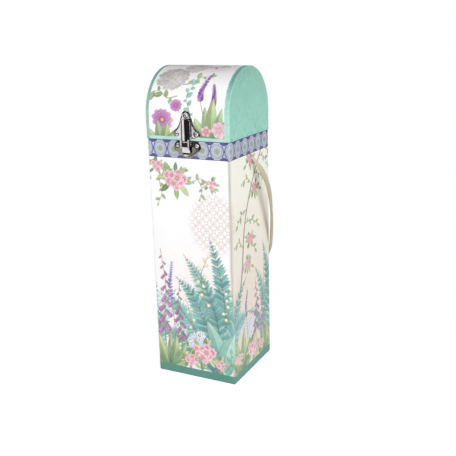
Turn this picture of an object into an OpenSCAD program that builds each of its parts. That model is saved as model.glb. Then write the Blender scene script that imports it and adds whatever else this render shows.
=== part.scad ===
// Tall wooden box for one wine bottle, with a hinged barrel-top lid, a toggle latch
// and a carrying strap. Thin boards make the shell, and printed papers cover them.
// Millimetres. The origin is the centre of the face that the box stands on. +Z is up,
// +X is to the right and -Y is the front, where the latch is.

/* [Box] */
// Outer width of the box
body_w = 102; // [92:1:126]
// Outer depth of the box
body_d = 102; // [92:1:126]
// Height of the box up to its rim
body_h = 283.4; // [270:0.2:330]
// Thickness of the box's wall boards
board_t = 5; // [4:0.5:7]
// Thickness of the bottom board
base_t = 5; // [4:0.5:9]

/* [Papers] */
// Thickness of the papers glued to the outside
paper_t = 0.4; // [0.3:0.05:0.6]
// Thickness of the papers glued to the inside
lining_t = 0.3; // [0.2:0.05:0.5]
// Height of the plain band round the foot
plinth_h = 10; // [6:0.5:18]
// Height of the patterned border under the rim
border_h = 20; // [19:0.5:26]

/* [Lid] */
// Height of the lid's upright walls, below its arch
lid_wall_h = 25; // [22:0.5:40]
// How far the lid stands out past the box on each side
lid_overhang = 0.7; // [0.4:0.1:1.4]
// Gap between the closed lid and the rim
lid_gap = 0.3; // [0.2:0.05:0.6]
// Thickness of the lid's boards
lid_board_t = 5; // [4:0.5:7]
// Height of the plain strip along the lid's lower edge
trim_h = 3.6; // [2.5:0.1:6]
// Width of the plain strip that each end paper lays over the arch
edge_strip_w = 4.3; // [3:0.1:8]

/* [Hinges] */
// Distance of each hinge's middle from the side of the box
hinge_inset = 23; // [18:0.5:30]
// Width of a hinge
hinge_w = 20; // [16:0.5:24]
// Height of a hinge leaf
leaf_h = 12; // [11:0.5:15]
// Thickness of a hinge leaf
leaf_t = 0.9; // [0.7:0.1:1.2]
// Radius of a hinge knuckle
knuckle_r = 1.9; // [1.7:0.05:2.4]
// Radius of a hinge pin
hinge_pin_r = 0.9; // [0.7:0.05:1.1]

/* [Latch] */
// Thickness of the latch's plates
plate_t = 1; // [0.8:0.1:1.3]
// Half the distance between the two side nails of each plate
plate_nail_x = 12; // [11:0.25:14]
// Height of the catch plate on the lid
catch_h = 30; // [28:0.5:34]
// Height of the catch plate's lower edge above the lid's lower edge
catch_rise = 2.3; // [1.5:0.1:4]
// Distance of the lever's pin below the rim
lever_pin_drop = 2.4; // [2.2:0.1:4]
// Distance of the base plate's nails below the rim
base_nail_drop = 5.4; // [5:0.1:7]
// Distance from the rim to the middle of the base plate's round foot
shield_drop = 10; // [9:0.1:12]
// Radius of the lever's pin
lever_pin_r = 0.8; // [0.6:0.05:0.9]
// Radius of the pin that joins the link to the lever
link_pin_r = 0.7; // [0.5:0.05:0.75]
// Distance from the lever's pin to the tip of its finger tab
lever_len = 14.2; // [13:0.2:16]
// Half the greatest width of the finger tab
tab_half_w = 4.8; // [4:0.1:5.4]
// Height of the link's top above the lid's lower edge
link_rise = 23.3; // [21:0.1:24]
// Width of the link
link_w = 11; // [10.6:0.2:13]
// Height of the link's crown over its edges
link_crown = 2.2; // [1.8:0.1:2.6]

/* [Strap] */
// Width of the strap
strap_w = 9; // [7:0.5:11]
// Thickness of the strap
strap_t = 1.2; // [0.8:0.1:1.8]
// Radius of the strap's gathered ends
strap_end_r = 2.2; // [1.8:0.1:2.8]
// Distance of the strap's holes below the rim
strap_hole_drop = 25.4; // [22:0.2:40]
// Distance of the strap's holes behind the middle of the side
strap_hole_y = 4; // [0:0.5:8]
// How far the strap bulges out from the side of the box
strap_bulge = 13.5; // [11:0.5:20]
// Distance from the holes to the widest place of the loop
strap_bulge_at = 44; // [38:1:54]
// Distance from the holes to where the strap rounds the back edge
strap_cross_at = 131; // [122:1:140]
// How far the strap's line has drawn in where it begins its lower turn
strap_turn_in = 7.5; // [5:0.5:12]
// Distance from the holes to the end of the loop
strap_drop = 174; // [168:1:190]

/* [Fits] */
// Radial clearance of a turning pin
turn_fit = 0.03; // [0.02:0.01:0.06]
// Radial clearance of a fixed pin or nail
fixed_fit = 0.02; // [0.01:0.01:0.04]
// Radial clearance of the strap's ends in their holes
strap_fit = 0.05; // [0.03:0.01:0.1]
// Gap between parts that move past each other
move_gap = 0.3; // [0.2:0.05:0.4]

/* [Hidden] */

$fn = 96;
SMALL_FN = 48;
OVER = 1;

// Shell of the box
side_x = body_w / 2;
back_y = body_d / 2;
wood_x = side_x - paper_t;
wood_y = back_y - paper_t;
hollow_x = wood_x - board_t;
hollow_y = wood_y - board_t;
base_top = lining_t + base_t;
board_top = body_h - paper_t;
border_z = body_h - border_h;

// Shell of the lid
lid_z = body_h + lid_gap;
lid_x = side_x + lid_overhang;
lid_y = back_y + lid_overhang;
lid_board_z = lid_z + paper_t;
arch_z = lid_z + lid_wall_h;
lid_wood_x = lid_x - paper_t;
lid_inner_x = lid_wood_x - lid_board_t;
lid_skin_x = lid_x - edge_strip_w;
inner_inset = paper_t + lid_board_t;

// Nails
nail_r = 0.6;
nail_head_r = 2;
nail_head_h = 1.1;
nail_grip = 3.2;
nail_hole_r = nail_r + fixed_fit;

// Hinges: the axis lies just behind the lid, level with the seam
knuckle_gap = 0.2;
hinge_x = side_x - hinge_inset;
hinge_y = lid_y + knuckle_r + knuckle_gap / 2;
hinge_z = body_h + lid_gap / 2;
hinge_nail_in = 4;
hinge_nail_x = hinge_w / 2 - hinge_nail_in;
hinge_nail_up = 3.4;
hinge_nail_drop = leaf_h - hinge_nail_up;
knuckle_w = (hinge_w - 2 * knuckle_gap) / 3;
pin_end = 0.4;
pin_head_t = 0.7;
leaf_notch = knuckle_r + knuckle_gap;
web_h = 3;

// Latch
base_y = -back_y - plate_t;
catch_y = -lid_y - plate_t;
catch_z = lid_z + catch_rise;
catch_top_r = 5.5;
catch_ear_r = 4.5;
catch_nail_z = catch_z + catch_ear_r;
catch_top_z = catch_z + catch_h - catch_top_r;
catch_waist_r = 23.5;
waist_out = 1.2;
waist_up = 1;
ear_r = 6.4;
ear_side = 4.6;
ear_drop = 0.6;
ear_x = plate_nail_x + ear_side - ear_r;
ear_z = body_h - ear_drop - ear_r;
base_nail_z = body_h - base_nail_drop;
shield_r = 9.7;
shield_z = body_h - shield_drop;
bearing_wall = 1.3;
bearing_r = lever_pin_r + bearing_wall;
bearing_w = 1.6;
bearing_x = 6;
lever_y = base_y - bearing_r;
lever_z = body_h - lever_pin_drop;
link_throw_y = 2.2;
link_throw_z = 4;
link_y = lever_y - link_throw_y;
link_z = lever_z - link_throw_z;
hub_wall = 1;
hub_r = lever_pin_r + hub_wall;
hub_x = 3.6;
eye_wall = 0.8;
link_eye_r = link_pin_r + eye_wall;
tab_t = 1;
tab_point = 0.3;
tab_out = 0.7;
tab_pull_top = [3, -5];
tab_pull_tip = [2.6, 4];
tab_neck_z = link_z - link_eye_r - move_gap;
tab_wide_z = lever_z - lever_len + tab_half_w + tab_point;
tab_tip_r = 1.6;
tab_tip_z = lever_z - lever_len + tab_tip_r;
arm_half_t = 1.1;
arm_x = hub_x + move_gap;
arm_w = 1.3;
link_shell_t = 1;
link_corner_r = 2.4;
link_front_y = link_y - arm_half_t;
link_round_r = (pow(link_w / 2, 2) + pow(link_crown, 2)) / (2 * link_crown);
link_low_z = lid_z + move_gap;
link_top_z = lid_z + link_rise;
link_wall_t = 1.5;
lip_half_w = 3.6;
lip_h = 2;
lip_z = link_top_z - link_wall_t - move_gap - lip_h;
lip_room = 0.5;
lip_y = link_front_y + link_crown + lip_room;

// Strap: a flat loop hung from two holes, leaning back so that it rounds the back edges
strap_z = body_h - strap_hole_drop;
strap_room = 1.8;
strap_lean = asin((back_y + strap_w / 2 + strap_room - strap_hole_y) / strap_cross_at);
strap_steps = 14;
gather_from = 1;
gather_len = 26;
strap_hole_r = strap_end_r + strap_fit;
knot_bead_r = 1.9;
knot_bite = 0.7;
knot_ring_r = strap_end_r + knot_bead_r - knot_bite;
knot_pitch = 3;
knot_x = hollow_x - lining_t - move_gap;
strap_tail = 1;
strap_end_x = knot_x - knot_pitch - 2 * knot_bead_r - strap_tail;

// ---------- helpers ----------

// Copies a thing to both sides, left and right
module both_sides() {
    children();
    mirror([1, 0, 0]) children();
}

// A block with its corners at low and high
module block(low, high) {
    translate(low) cube(high - low);
}

// Extrudes a profile drawn in Y and Z from x0 to x1
module along_x(x0, x1) {
    translate([x0, 0, 0]) rotate([90, 0, 90]) linear_extrude(x1 - x0) children();
}

// Extrudes a profile drawn in X and Z from y0 back to y1
module along_y(y0, y1) {
    translate([0, y1, 0]) rotate([90, 0, 0]) linear_extrude(y1 - y0) children();
}

// A round rod along X, from x0 to x1
module rod_x(y, z, r, x0, x1) {
    translate([x0, y, z]) rotate([0, 90, 0]) cylinder(r = r, h = x1 - x0, $fn = SMALL_FN);
}

// Unit vector across the line from p to q, turned so that a belt round two discs meets it
function belt_side(p, rp, q, rq, side) =
    let (d = q - p, len = norm(d), lean = acos((rp - rq) / len), way = atan2(d[1], d[0]))
    [cos(way + side * lean), sin(way + side * lean)];

// Two discs and the belt round them, as a flat outline
module belt(p, rp, q, rq) {
    translate(p) circle(r = rp);
    translate(q) circle(r = rq);
    up = belt_side(p, rp, q, rq, 1);
    down = belt_side(p, rp, q, rq, -1);
    polygon([p + rp * up, q + rq * up, q + rq * down, p + rp * down]);
}

// Point at t on the curve with four control points
function bezier(c, t) =
    pow(1 - t, 3) * c[0] + 3 * t * pow(1 - t, 2) * c[1] + 3 * t * t * (1 - t) * c[2] + pow(t, 3) * c[3];

// Points of one curve, less its last, which the next curve begins with
function curve_points(c, steps) = [for (i = [0 : steps - 1]) bezier(c, i / steps)];

function unit(v) = v / norm(v);
function turned(v) = [-v[1], v[0]];

// Direction across a line of points at its point i
function across(p, i) =
    turned(unit(p[min(i + 1, len(p) - 1)] - p[max(i - 1, 0)]));

// A strip of thickness t that follows a line of points
module strip(p, t) {
    last = len(p) - 1;
    polygon(concat(
        [for (i = [0 : last]) p[i] + across(p, i) * t / 2],
        [for (i = [last : -1 : 0]) p[i] - across(p, i) * t / 2]
    ));
}

// ---------- nails and holes ----------

// A round-headed nail that points along +Y, with the underside of its head at y = 0
module nail(through) {
    dome_r = (pow(nail_head_r, 2) + pow(nail_head_h, 2)) / (2 * nail_head_h);
    rotate([90, 0, 0]) {
        rotate_extrude($fn = SMALL_FN) intersection() {
            translate([0, nail_head_h - dome_r]) circle(r = dome_r);
            square([nail_head_r, nail_head_h]);
        }
        translate([0, 0, -through - nail_grip]) cylinder(r = nail_r, h = through + nail_grip, $fn = 24);
    }
}

// The hole for such a nail, open at both ends
module nail_hole(through) {
    rotate([90, 0, 0]) translate([0, 0, -through - nail_grip - move_gap])
        cylinder(r = nail_hole_r, h = through + nail_grip + move_gap + OVER, $fn = 24);
}

module base_nail_places() {
    both_sides() translate([plate_nail_x, base_y, base_nail_z]) children();
}

module catch_nail_places() {
    both_sides() translate([plate_nail_x, catch_y, catch_nail_z]) children();
    translate([0, catch_y, catch_top_z]) children();
}

module hinge_lower_nail_places() {
    both_sides() for (x = [-hinge_nail_x, hinge_nail_x])
        translate([hinge_x + x, back_y + leaf_t, body_h - hinge_nail_drop]) rotate([0, 0, 180]) children();
}

module hinge_upper_nail_places() {
    both_sides() for (x = [-hinge_nail_x, hinge_nail_x])
        translate([hinge_x + x, lid_y + leaf_t, lid_z + hinge_nail_drop]) rotate([0, 0, 180]) children();
}

plate_through = plate_t + paper_t;
leaf_through = leaf_t + paper_t;

// Every hole that the box's walls and papers share
module box_holes() {
    base_nail_places() nail_hole(plate_through);
    hinge_lower_nail_places() nail_hole(leaf_through);
    rod_x(strap_hole_y, strap_z, strap_hole_r, -side_x - OVER, side_x + OVER);
}

// Every hole that the lid's walls and papers share
module lid_holes() {
    catch_nail_places() nail_hole(plate_through);
    hinge_upper_nail_places() nail_hole(leaf_through);
}

// ---------- box ----------

module front_board() {
    color("burlywood") difference() {
        block([-wood_x, -wood_y, lining_t], [wood_x, -hollow_y, board_top]);
        box_holes();
    }
}

module back_board() {
    color("burlywood") difference() {
        block([-wood_x, hollow_y, lining_t], [wood_x, wood_y, board_top]);
        box_holes();
    }
}

module side_board() {
    color("burlywood") difference() {
        block([hollow_x, -hollow_y, lining_t], [wood_x, hollow_y, board_top]);
        box_holes();
    }
}

module right_board() {
    side_board();
}

module left_board() {
    mirror([1, 0, 0]) side_board();
}

module base_board() {
    color("burlywood") block([-hollow_x, -hollow_y, lining_t], [hollow_x, hollow_y, base_top]);
}

// The sheet under the box, which it stands on
module bottom_sheet() {
    color("seagreen") block([-wood_x, -wood_y, 0], [wood_x, wood_y, lining_t]);
}

module base_lining() {
    color("ivory")
        block([-hollow_x, -hollow_y, base_top], [hollow_x, hollow_y, base_top + lining_t]);
}

// A square tube between an outer and an inner outline
module square_tube(x, y, wall, z0, z1) {
    difference() {
        block([-x, -y, z0], [x, y, z1]);
        block([wall - x, wall - y, z0 - OVER], [x - wall, y - wall, z1 + OVER]);
    }
}

module wall_lining() {
    color("ivory") difference() {
        square_tube(hollow_x, hollow_y, lining_t, base_top + lining_t, board_top);
        box_holes();
    }
}

module wall_paper() {
    color("whitesmoke") difference() {
        square_tube(side_x, back_y, paper_t, plinth_h, border_z);
        box_holes();
    }
}

// The patterned border, folded in over the rim
module border_paper() {
    color([0.62, 0.63, 0.77]) difference() {
        union() {
            square_tube(side_x, back_y, paper_t, border_z, body_h);
            square_tube(wood_x, wood_y, board_t + lining_t, board_top, body_h);
        }
        box_holes();
    }
}

module plinth_paper() {
    color([0.22, 0.52, 0.44]) square_tube(side_x, back_y, paper_t, lining_t, plinth_h);
}

// ---------- lid ----------

// The lid's end outline, drawn in by inset, from height z0 up
module arch_outline(inset, z0) {
    half = lid_y - inset;
    translate([-half, z0]) square([2 * half, arch_z - z0]);
    intersection() {
        translate([0, arch_z]) circle(r = half);
        translate([-half, arch_z]) square([2 * half, half]);
    }
}

// A skin that follows the arch between two insets, open below
module arch_skin(outer, inner, z0) {
    difference() {
        arch_outline(outer, z0);
        arch_outline(inner, z0 - OVER);
    }
}

module lid_front_board() {
    color("burlywood") difference() {
        block([-lid_wood_x, paper_t - lid_y, lid_board_z], [lid_wood_x, inner_inset - lid_y, arch_z]);
        lid_holes();
    }
}

module lid_back_board() {
    color("burlywood") difference() {
        block([-lid_wood_x, lid_y - inner_inset, lid_board_z], [lid_wood_x, lid_y - paper_t, arch_z]);
        lid_holes();
    }
}

module lid_end_board() {
    color("burlywood")
        along_x(lid_inner_x, lid_wood_x) arch_outline(inner_inset, lid_board_z);
}

module lid_right_board() {
    lid_end_board();
}

module lid_left_board() {
    mirror([1, 0, 0]) lid_end_board();
}

module lid_arch_board() {
    color("burlywood") difference() {
        along_x(-lid_wood_x, lid_wood_x) intersection() {
            arch_skin(paper_t, inner_inset, arch_z - OVER);
            translate([-lid_y, arch_z]) square([2 * lid_y, lid_y]);
        }
        lid_holes();
    }
}

module lid_print_paper() {
    color("whitesmoke") difference() {
        along_x(-lid_skin_x, lid_skin_x) arch_skin(0, paper_t, lid_z + trim_h);
        lid_holes();
    }
}

// The paper on an end of the lid, with the strip that it lays over the arch
module lid_end_paper() {
    color([0.5, 0.78, 0.68]) difference() {
        union() {
            along_x(lid_wood_x, lid_x) arch_outline(0, lid_z);
            along_x(lid_skin_x, lid_wood_x) arch_skin(0, paper_t, lid_z);
        }
        lid_holes();
    }
}

module lid_right_paper() {
    lid_end_paper();
}

module lid_left_paper() {
    mirror([1, 0, 0]) lid_end_paper();
}

// The strip along the lid's lower edge, folded in under the boards
module lid_rim_paper() {
    color([0.62, 0.84, 0.78]) difference() {
        union() {
            square_tube(lid_wood_x, lid_y - paper_t, lid_board_t + lining_t, lid_z, lid_board_z);
            block([-lid_skin_x, -lid_y, lid_z], [lid_skin_x, paper_t - lid_y, lid_z + trim_h]);
            block([-lid_skin_x, lid_y - paper_t, lid_z], [lid_skin_x, lid_y, lid_z + trim_h]);
        }
        lid_holes();
    }
}

module lid_lining() {
    color("ivory") union() {
        along_x(-lid_inner_x, lid_inner_x)
            arch_skin(inner_inset, inner_inset + lining_t, lid_board_z);
        both_sides() along_x(lid_inner_x - lining_t, lid_inner_x)
            arch_outline(inner_inset, lid_board_z);
    }
}

// ---------- hinges ----------

// The pieces of the width of the right hinge: 0 and 2 belong to the lower leaf, 1 to the upper
function knuckle_x(i) = hinge_x - hinge_w / 2 + i * (knuckle_w + knuckle_gap);

// A leaf with its knuckles. face is where it lies, way is 1 for the upper leaf and -1 for the lower
module hinge_leaf(face, edge_z, way, mine, others) {
    end_z = edge_z + way * leaf_h;
    notch_z = hinge_z + way * leaf_notch;
    color("silver") difference() {
        union() {
            block([hinge_x - hinge_w / 2, face, min(edge_z, end_z)],
                [hinge_x + hinge_w / 2, face + leaf_t, max(edge_z, end_z)]);
            for (i = mine) {
                rod_x(hinge_y, hinge_z, knuckle_r, knuckle_x(i), knuckle_x(i) + knuckle_w);
                along_x(knuckle_x(i), knuckle_x(i) + knuckle_w) polygon([
                    [face, edge_z + way * web_h],
                    [face, edge_z],
                    [hinge_y, hinge_z],
                    [hinge_y, hinge_z + way * knuckle_r]
                ]);
            }
        }
        for (i = others)
            block([knuckle_x(i) - knuckle_gap, face - OVER, min(edge_z - way, notch_z)],
                [knuckle_x(i) + knuckle_w + knuckle_gap, face + leaf_t + OVER, max(edge_z - way, notch_z)]);
        rod_x(hinge_y, hinge_z, hinge_pin_r + (way > 0 ? turn_fit : fixed_fit), 0, side_x);
        children();
    }
}

module lower_leaf() {
    hinge_leaf(back_y, body_h, -1, [0, 2], [1]) hinge_lower_nail_places() nail_hole(leaf_through);
}

module upper_leaf() {
    hinge_leaf(lid_y, lid_z, 1, [1], [0, 2]) hinge_upper_nail_places() nail_hole(leaf_through);
}

module hinge_pin() {
    head_r = hinge_pin_r + pin_end;
    head_t = pin_head_t;
    color("gainsboro") {
        rod_x(hinge_y, hinge_z, hinge_pin_r, hinge_x - hinge_w / 2 - head_t, hinge_x + hinge_w / 2 + head_t);
        for (x = [hinge_x - hinge_w / 2 - head_t, hinge_x + hinge_w / 2])
            rod_x(hinge_y, hinge_z, head_r, x, x + head_t);
    }
}

module hinge_right_lower_leaf() {
    lower_leaf();
}

module hinge_left_lower_leaf() {
    mirror([1, 0, 0]) lower_leaf();
}

module hinge_right_upper_leaf() {
    upper_leaf();
}

module hinge_left_upper_leaf() {
    mirror([1, 0, 0]) upper_leaf();
}

module hinge_right_pin() {
    hinge_pin();
}

module hinge_left_pin() {
    mirror([1, 0, 0]) hinge_pin();
}

module hinge_lower_nails() {
    color("gainsboro") hinge_lower_nail_places() nail(leaf_through);
}

module hinge_upper_nails() {
    color("gainsboro") hinge_upper_nail_places() nail(leaf_through);
}

// ---------- latch ----------

// The plate nailed to the box: two ears, a shield below them and two bearings for the lever
module latch_base_plate() {
    ear = [ear_x, ear_z];
    shield = [0, shield_z];
    color("silver") difference() {
        union() {
            along_y(base_y, -back_y) both_sides() belt(ear, ear_r, shield, shield_r);
            along_y(base_y, -back_y)
                translate([-ear_x, shield_z]) square([2 * ear_x, ear_z + ear_r - shield_z]);
            both_sides() along_x(bearing_x, bearing_x + bearing_w) {
                translate([lever_y, lever_z]) circle(r = bearing_r, $fn = SMALL_FN);
                translate([lever_y, lever_z - bearing_r])
                    square([bearing_r + plate_t / 2, 2 * bearing_r]);
            }
        }
        base_nail_places() nail_hole(plate_through);
        rod_x(lever_y, lever_z, lever_pin_r + fixed_fit, -side_x, side_x);
    }
}

module latch_base_nails() {
    color("gainsboro") base_nail_places() nail(plate_through);
}

module latch_lever_pin() {
    half = bearing_x + bearing_w + pin_end;
    color("gainsboro") rod_x(lever_y, lever_z, lever_pin_r, -half, half);
}

// The lever: a hub on its pin, an eye for the link and a finger tab that flares out at its tip
module latch_lever() {
    root = [link_y, link_z];
    tip = [link_y + tab_out, lever_z - lever_len];
    swing = [root, root + tab_pull_top, tip + tab_pull_tip, tip];
    color("silver") difference() {
        union() {
            along_x(-hub_x, hub_x) belt([lever_y, lever_z], hub_r, root, link_eye_r, $fn = SMALL_FN);
            intersection() {
                along_x(-tab_half_w, tab_half_w)
                    strip(concat(curve_points(swing, strap_steps), [tip]), tab_t);
                along_y(link_y - link_eye_r - OVER, base_y) {
                    translate([-hub_x, tab_neck_z]) square([2 * hub_x, link_z + link_eye_r - tab_neck_z]);
                    belt([0, tab_neck_z], hub_x, [0, tab_wide_z], tab_half_w);
                    belt([0, tab_wide_z], tab_half_w, [0, tab_tip_z], tab_tip_r);
                }
            }
        }
        rod_x(lever_y, lever_z, lever_pin_r + turn_fit, -side_x, side_x);
        rod_x(link_y, link_z, link_pin_r + fixed_fit, -side_x, side_x);
    }
}

module latch_link_pin() {
    half = arm_x + arm_w + pin_end;
    color("gainsboro") rod_x(link_y, link_z, link_pin_r, -half, half);
}

// Outline of the link's crowned front, drawn in by inset, as seen from above
module crown_outline(inset) {
    intersection() {
        translate([0, link_front_y + link_round_r]) circle(r = link_round_r - inset);
        translate([-link_w / 2, link_front_y]) square([link_w, link_crown]);
    }
}

// The link: two arms on its pin, a crowned tongue over the seam and a short wall at its top
module latch_link() {
    color("silver") difference() {
        union() {
            intersection() {
                translate([0, 0, link_low_z]) linear_extrude(link_top_z - link_low_z) difference() {
                    crown_outline(0);
                    crown_outline(link_shell_t);
                }
                link_front();
            }
            intersection() {
                translate([0, 0, link_top_z - link_wall_t]) linear_extrude(link_wall_t) crown_outline(0);
                link_front();
            }
            both_sides() along_x(arm_x, arm_x + arm_w) {
                translate([link_y, link_z]) circle(r = link_eye_r, $fn = SMALL_FN);
                translate([link_y - arm_half_t, link_z])
                    square([2 * arm_half_t, link_low_z + arm_w - link_z]);
            }
        }
        rod_x(link_y, link_z, link_pin_r + turn_fit, -side_x, side_x);
    }
}

// Front outline of the tongue, with round upper corners, as a block to cut with
module link_front() {
    half = link_w / 2;
    corner_r = link_corner_r;
    along_y(link_front_y - OVER, -back_y) {
        translate([-half, link_low_z]) square([link_w, link_top_z - corner_r - link_low_z]);
        translate([corner_r - half, link_low_z]) square([link_w - 2 * corner_r, link_top_z - link_low_z]);
        for (x = [corner_r - half, half - corner_r])
            translate([x, link_top_z - corner_r]) circle(r = corner_r, $fn = SMALL_FN);
    }
}

// The plate nailed to the lid: waisted sides, two ears below, and the lip that the link draws on
module latch_catch_plate() {
    waist_r = catch_waist_r;
    waist_z = catch_top_z + waist_up;
    waist_x = waist_r + catch_top_r + waist_out;
    color("silver") difference() {
        union() {
            along_y(catch_y, -lid_y) difference() {
                union() {
                    translate([0, catch_top_z]) circle(r = catch_top_r);
                    both_sides() translate([plate_nail_x, catch_nail_z]) circle(r = catch_ear_r);
                    translate([-plate_nail_x, catch_z]) square([2 * plate_nail_x, catch_ear_r]);
                    polygon([
                        [-plate_nail_x - catch_ear_r, catch_nail_z],
                        [-catch_top_r, catch_top_z],
                        [catch_top_r, catch_top_z],
                        [plate_nail_x + catch_ear_r, catch_nail_z]
                    ]);
                }
                for (x = [-waist_x, waist_x])
                    translate([x, waist_z]) circle(r = waist_r);
            }
            block([-lip_half_w, lip_y, lip_z], [lip_half_w, catch_y, lip_z + lip_h]);
        }
        catch_nail_places() nail_hole(plate_through);
    }
}

module latch_catch_nails() {
    color("gainsboro") catch_nail_places() nail(plate_through);
}

// ---------- strap ----------

// Half of the strap's middle line, from the hole to the end of the loop, as [x, drop]
bulge_x = side_x + strap_bulge;
cross_x = side_x - strap_t / 2;
near_curve = [
    [side_x + strap_t, 0], [side_x + 0.36 * strap_bulge, 0.12 * strap_bulge_at],
    [bulge_x, 0.48 * strap_bulge_at], [bulge_x, strap_bulge_at]
];
leg = strap_cross_at - strap_bulge_at;
leg_curve = [
    near_curve[3], [bulge_x, strap_bulge_at + 0.28 * leg],
    [side_x + 0.36 * strap_bulge, strap_bulge_at + 0.76 * leg], [cross_x, strap_cross_at]
];
end_curve = [
    leg_curve[3], [cross_x - strap_turn_in, strap_cross_at + 0.57 * (strap_drop - strap_cross_at)],
    [0.48 * side_x, strap_drop], [0, strap_drop]
];
half_line = concat(
    curve_points(near_curve, strap_steps), curve_points(leg_curve, strap_steps),
    curve_points(end_curve, strap_steps), [end_curve[3]]
);
last_point = len(half_line) - 1;
strap_line = concat(
    [for (p = half_line) [p[0], -p[1]]],
    [for (i = [last_point - 1 : -1 : 0]) [-half_line[i][0], -half_line[i][1]]]
);

// The strap, drawn flat and then hung leaning back, with its gathered ends through the holes
module carry_strap() {
    color([0.77, 0.75, 0.68]) union() {
        translate([0, strap_hole_y, strap_z]) rotate([90 + strap_lean, 0, 0]) intersection() {
            linear_extrude(strap_w, center = true) strip(strap_line, strap_t);
            along_x(-bulge_x - strap_w, bulge_x + strap_w) polygon([
                [strap_w, -strap_end_r], [-gather_from, -strap_end_r], [-gather_len, -strap_w / 2],
                [-strap_drop - strap_w, -strap_w / 2], [-strap_drop - strap_w, strap_w / 2],
                [-gather_len, strap_w / 2], [-gather_from, strap_end_r], [strap_w, strap_end_r]
            ]);
        }
        both_sides() rod_x(strap_hole_y, strap_z, strap_end_r, strap_end_x, side_x + 2 * strap_t);
    }
}

// A knot of two turns round the strap's end, inside the box
module strap_knot() {
    color([0.72, 0.7, 0.63]) difference() {
        for (i = [0, 1])
            translate([knot_x - knot_bead_r - i * knot_pitch, strap_hole_y, strap_z]) rotate([0, 90, 0])
                rotate_extrude($fn = SMALL_FN) translate([knot_ring_r, 0]) circle(r = knot_bead_r, $fn = SMALL_FN);
        rod_x(strap_hole_y, strap_z, strap_end_r, 0, side_x);
    }
}

module strap_right_knot() {
    strap_knot();
}

module strap_left_knot() {
    mirror([1, 0, 0]) strap_knot();
}

// ---------- the pieces ----------

front_board();
back_board();
left_board();
right_board();
base_board();
bottom_sheet();
base_lining();
wall_lining();
wall_paper();
border_paper();
plinth_paper();
lid_front_board();
lid_back_board();
lid_left_board();
lid_right_board();
lid_arch_board();
lid_print_paper();
lid_left_paper();
lid_right_paper();
lid_rim_paper();
lid_lining();
hinge_left_lower_leaf();
hinge_right_lower_leaf();
hinge_left_upper_leaf();
hinge_right_upper_leaf();
hinge_left_pin();
hinge_right_pin();
hinge_lower_nails();
hinge_upper_nails();
latch_base_plate();
latch_base_nails();
latch_lever_pin();
latch_lever();
latch_link_pin();
latch_link();
latch_catch_plate();
latch_catch_nails();
carry_strap();
strap_left_knot();
strap_right_knot();
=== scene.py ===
"""Tall wooden bottle box with a hinged barrel lid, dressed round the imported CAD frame."""

import math

import bpy
import numpy as np
from mathutils import Matrix, Vector
from mathutils.geometry import delaunay_2d_cdt, tessellate_polygon


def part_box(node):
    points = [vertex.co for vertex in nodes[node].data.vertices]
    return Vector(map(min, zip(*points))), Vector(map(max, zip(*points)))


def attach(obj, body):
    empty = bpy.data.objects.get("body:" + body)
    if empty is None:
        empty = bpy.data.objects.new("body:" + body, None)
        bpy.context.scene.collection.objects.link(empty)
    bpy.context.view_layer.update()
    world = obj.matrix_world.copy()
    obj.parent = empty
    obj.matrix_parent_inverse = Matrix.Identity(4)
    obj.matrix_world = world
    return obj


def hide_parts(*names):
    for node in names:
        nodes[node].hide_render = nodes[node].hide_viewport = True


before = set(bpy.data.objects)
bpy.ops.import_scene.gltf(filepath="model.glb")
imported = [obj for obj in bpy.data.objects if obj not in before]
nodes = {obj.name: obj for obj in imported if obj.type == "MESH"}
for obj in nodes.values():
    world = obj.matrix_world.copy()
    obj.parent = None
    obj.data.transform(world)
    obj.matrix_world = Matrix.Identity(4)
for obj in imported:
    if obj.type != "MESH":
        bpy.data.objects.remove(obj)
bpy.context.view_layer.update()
scene = bpy.context.scene
scene.view_settings.view_transform = "Standard"
MM = 0.001

# ---------------------------------------------------------------- sizes in mm, as in part.scad

HALF = 51.0  # half the width and depth of the box
SIDE = 2 * HALF
ROUND = 4 * SIDE  # once round the box
RIM_Z = 283.4
PLINTH_Z = 10.0
BAND_Z = 263.4  # foot of the patterned border
BAND_H = RIM_Z - BAND_Z
LID_Z = 283.7
LID_HALF = 51.7
ARCH_Z = 308.7  # where the lid's arch begins
PRINT_HALF = 47.4  # half the width of the lid's printed sheet
PRINT_Z = 287.3  # foot of the lid's printed sheet
LEG = ARCH_Z - PRINT_Z  # height of that sheet below the arch
LID_ROUND = 2 * LEG + math.pi * LID_HALF  # length of that sheet over front, arch and back
STRAP_Y = 4.0
STRAP_Z = 258.0

# ---------------------------------------------------------------- objects and camera

IMAGE = 456  # pixels along each side of the photograph
FOCAL_PX = 736.03  # focal length in these pixels
SENSOR = 36.0
CAM_TARGET = Vector((20.95, 0.0, 173.1)) * MM
CAM_DISTANCE = 0.8654  # in metres
CAM_AZIMUTH, CAM_ELEVATION, CAM_ROLL = 26.96, 16.0, -1.45  # in degrees


def placed(name, data):
    """A new object of some data, in the scene."""
    made = bpy.data.objects.new(name, data)
    scene.collection.objects.link(made)
    return made


def direction(azimuth, elevation):
    """The way from the box towards a place round it, by its degrees from the front and above the floor."""
    a, e = math.radians(azimuth), math.radians(elevation)
    return Vector((math.sin(a) * math.cos(e), -math.cos(a) * math.cos(e), math.sin(e)))


def place_camera():
    """The camera, where the perspective of the photograph puts it."""
    data = bpy.data.cameras.new("camera")
    data.sensor_width = SENSOR
    data.lens = SENSOR * FOCAL_PX / IMAGE
    data.clip_start = 0.01
    data.clip_end = 50.0
    back = direction(CAM_AZIMUTH, CAM_ELEVATION)
    right = (-back).cross(Vector((0, 0, 1))).normalized()
    up = right.cross(-back)
    c, s = math.cos(math.radians(CAM_ROLL)), math.sin(math.radians(CAM_ROLL))
    axes = Matrix((right * c + up * s, up * c - right * s, back)).transposed().to_4x4()
    camera = placed("camera", data)
    camera.matrix_world = Matrix.Translation(CAM_TARGET + back * CAM_DISTANCE) @ axes
    scene.camera = camera


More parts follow.
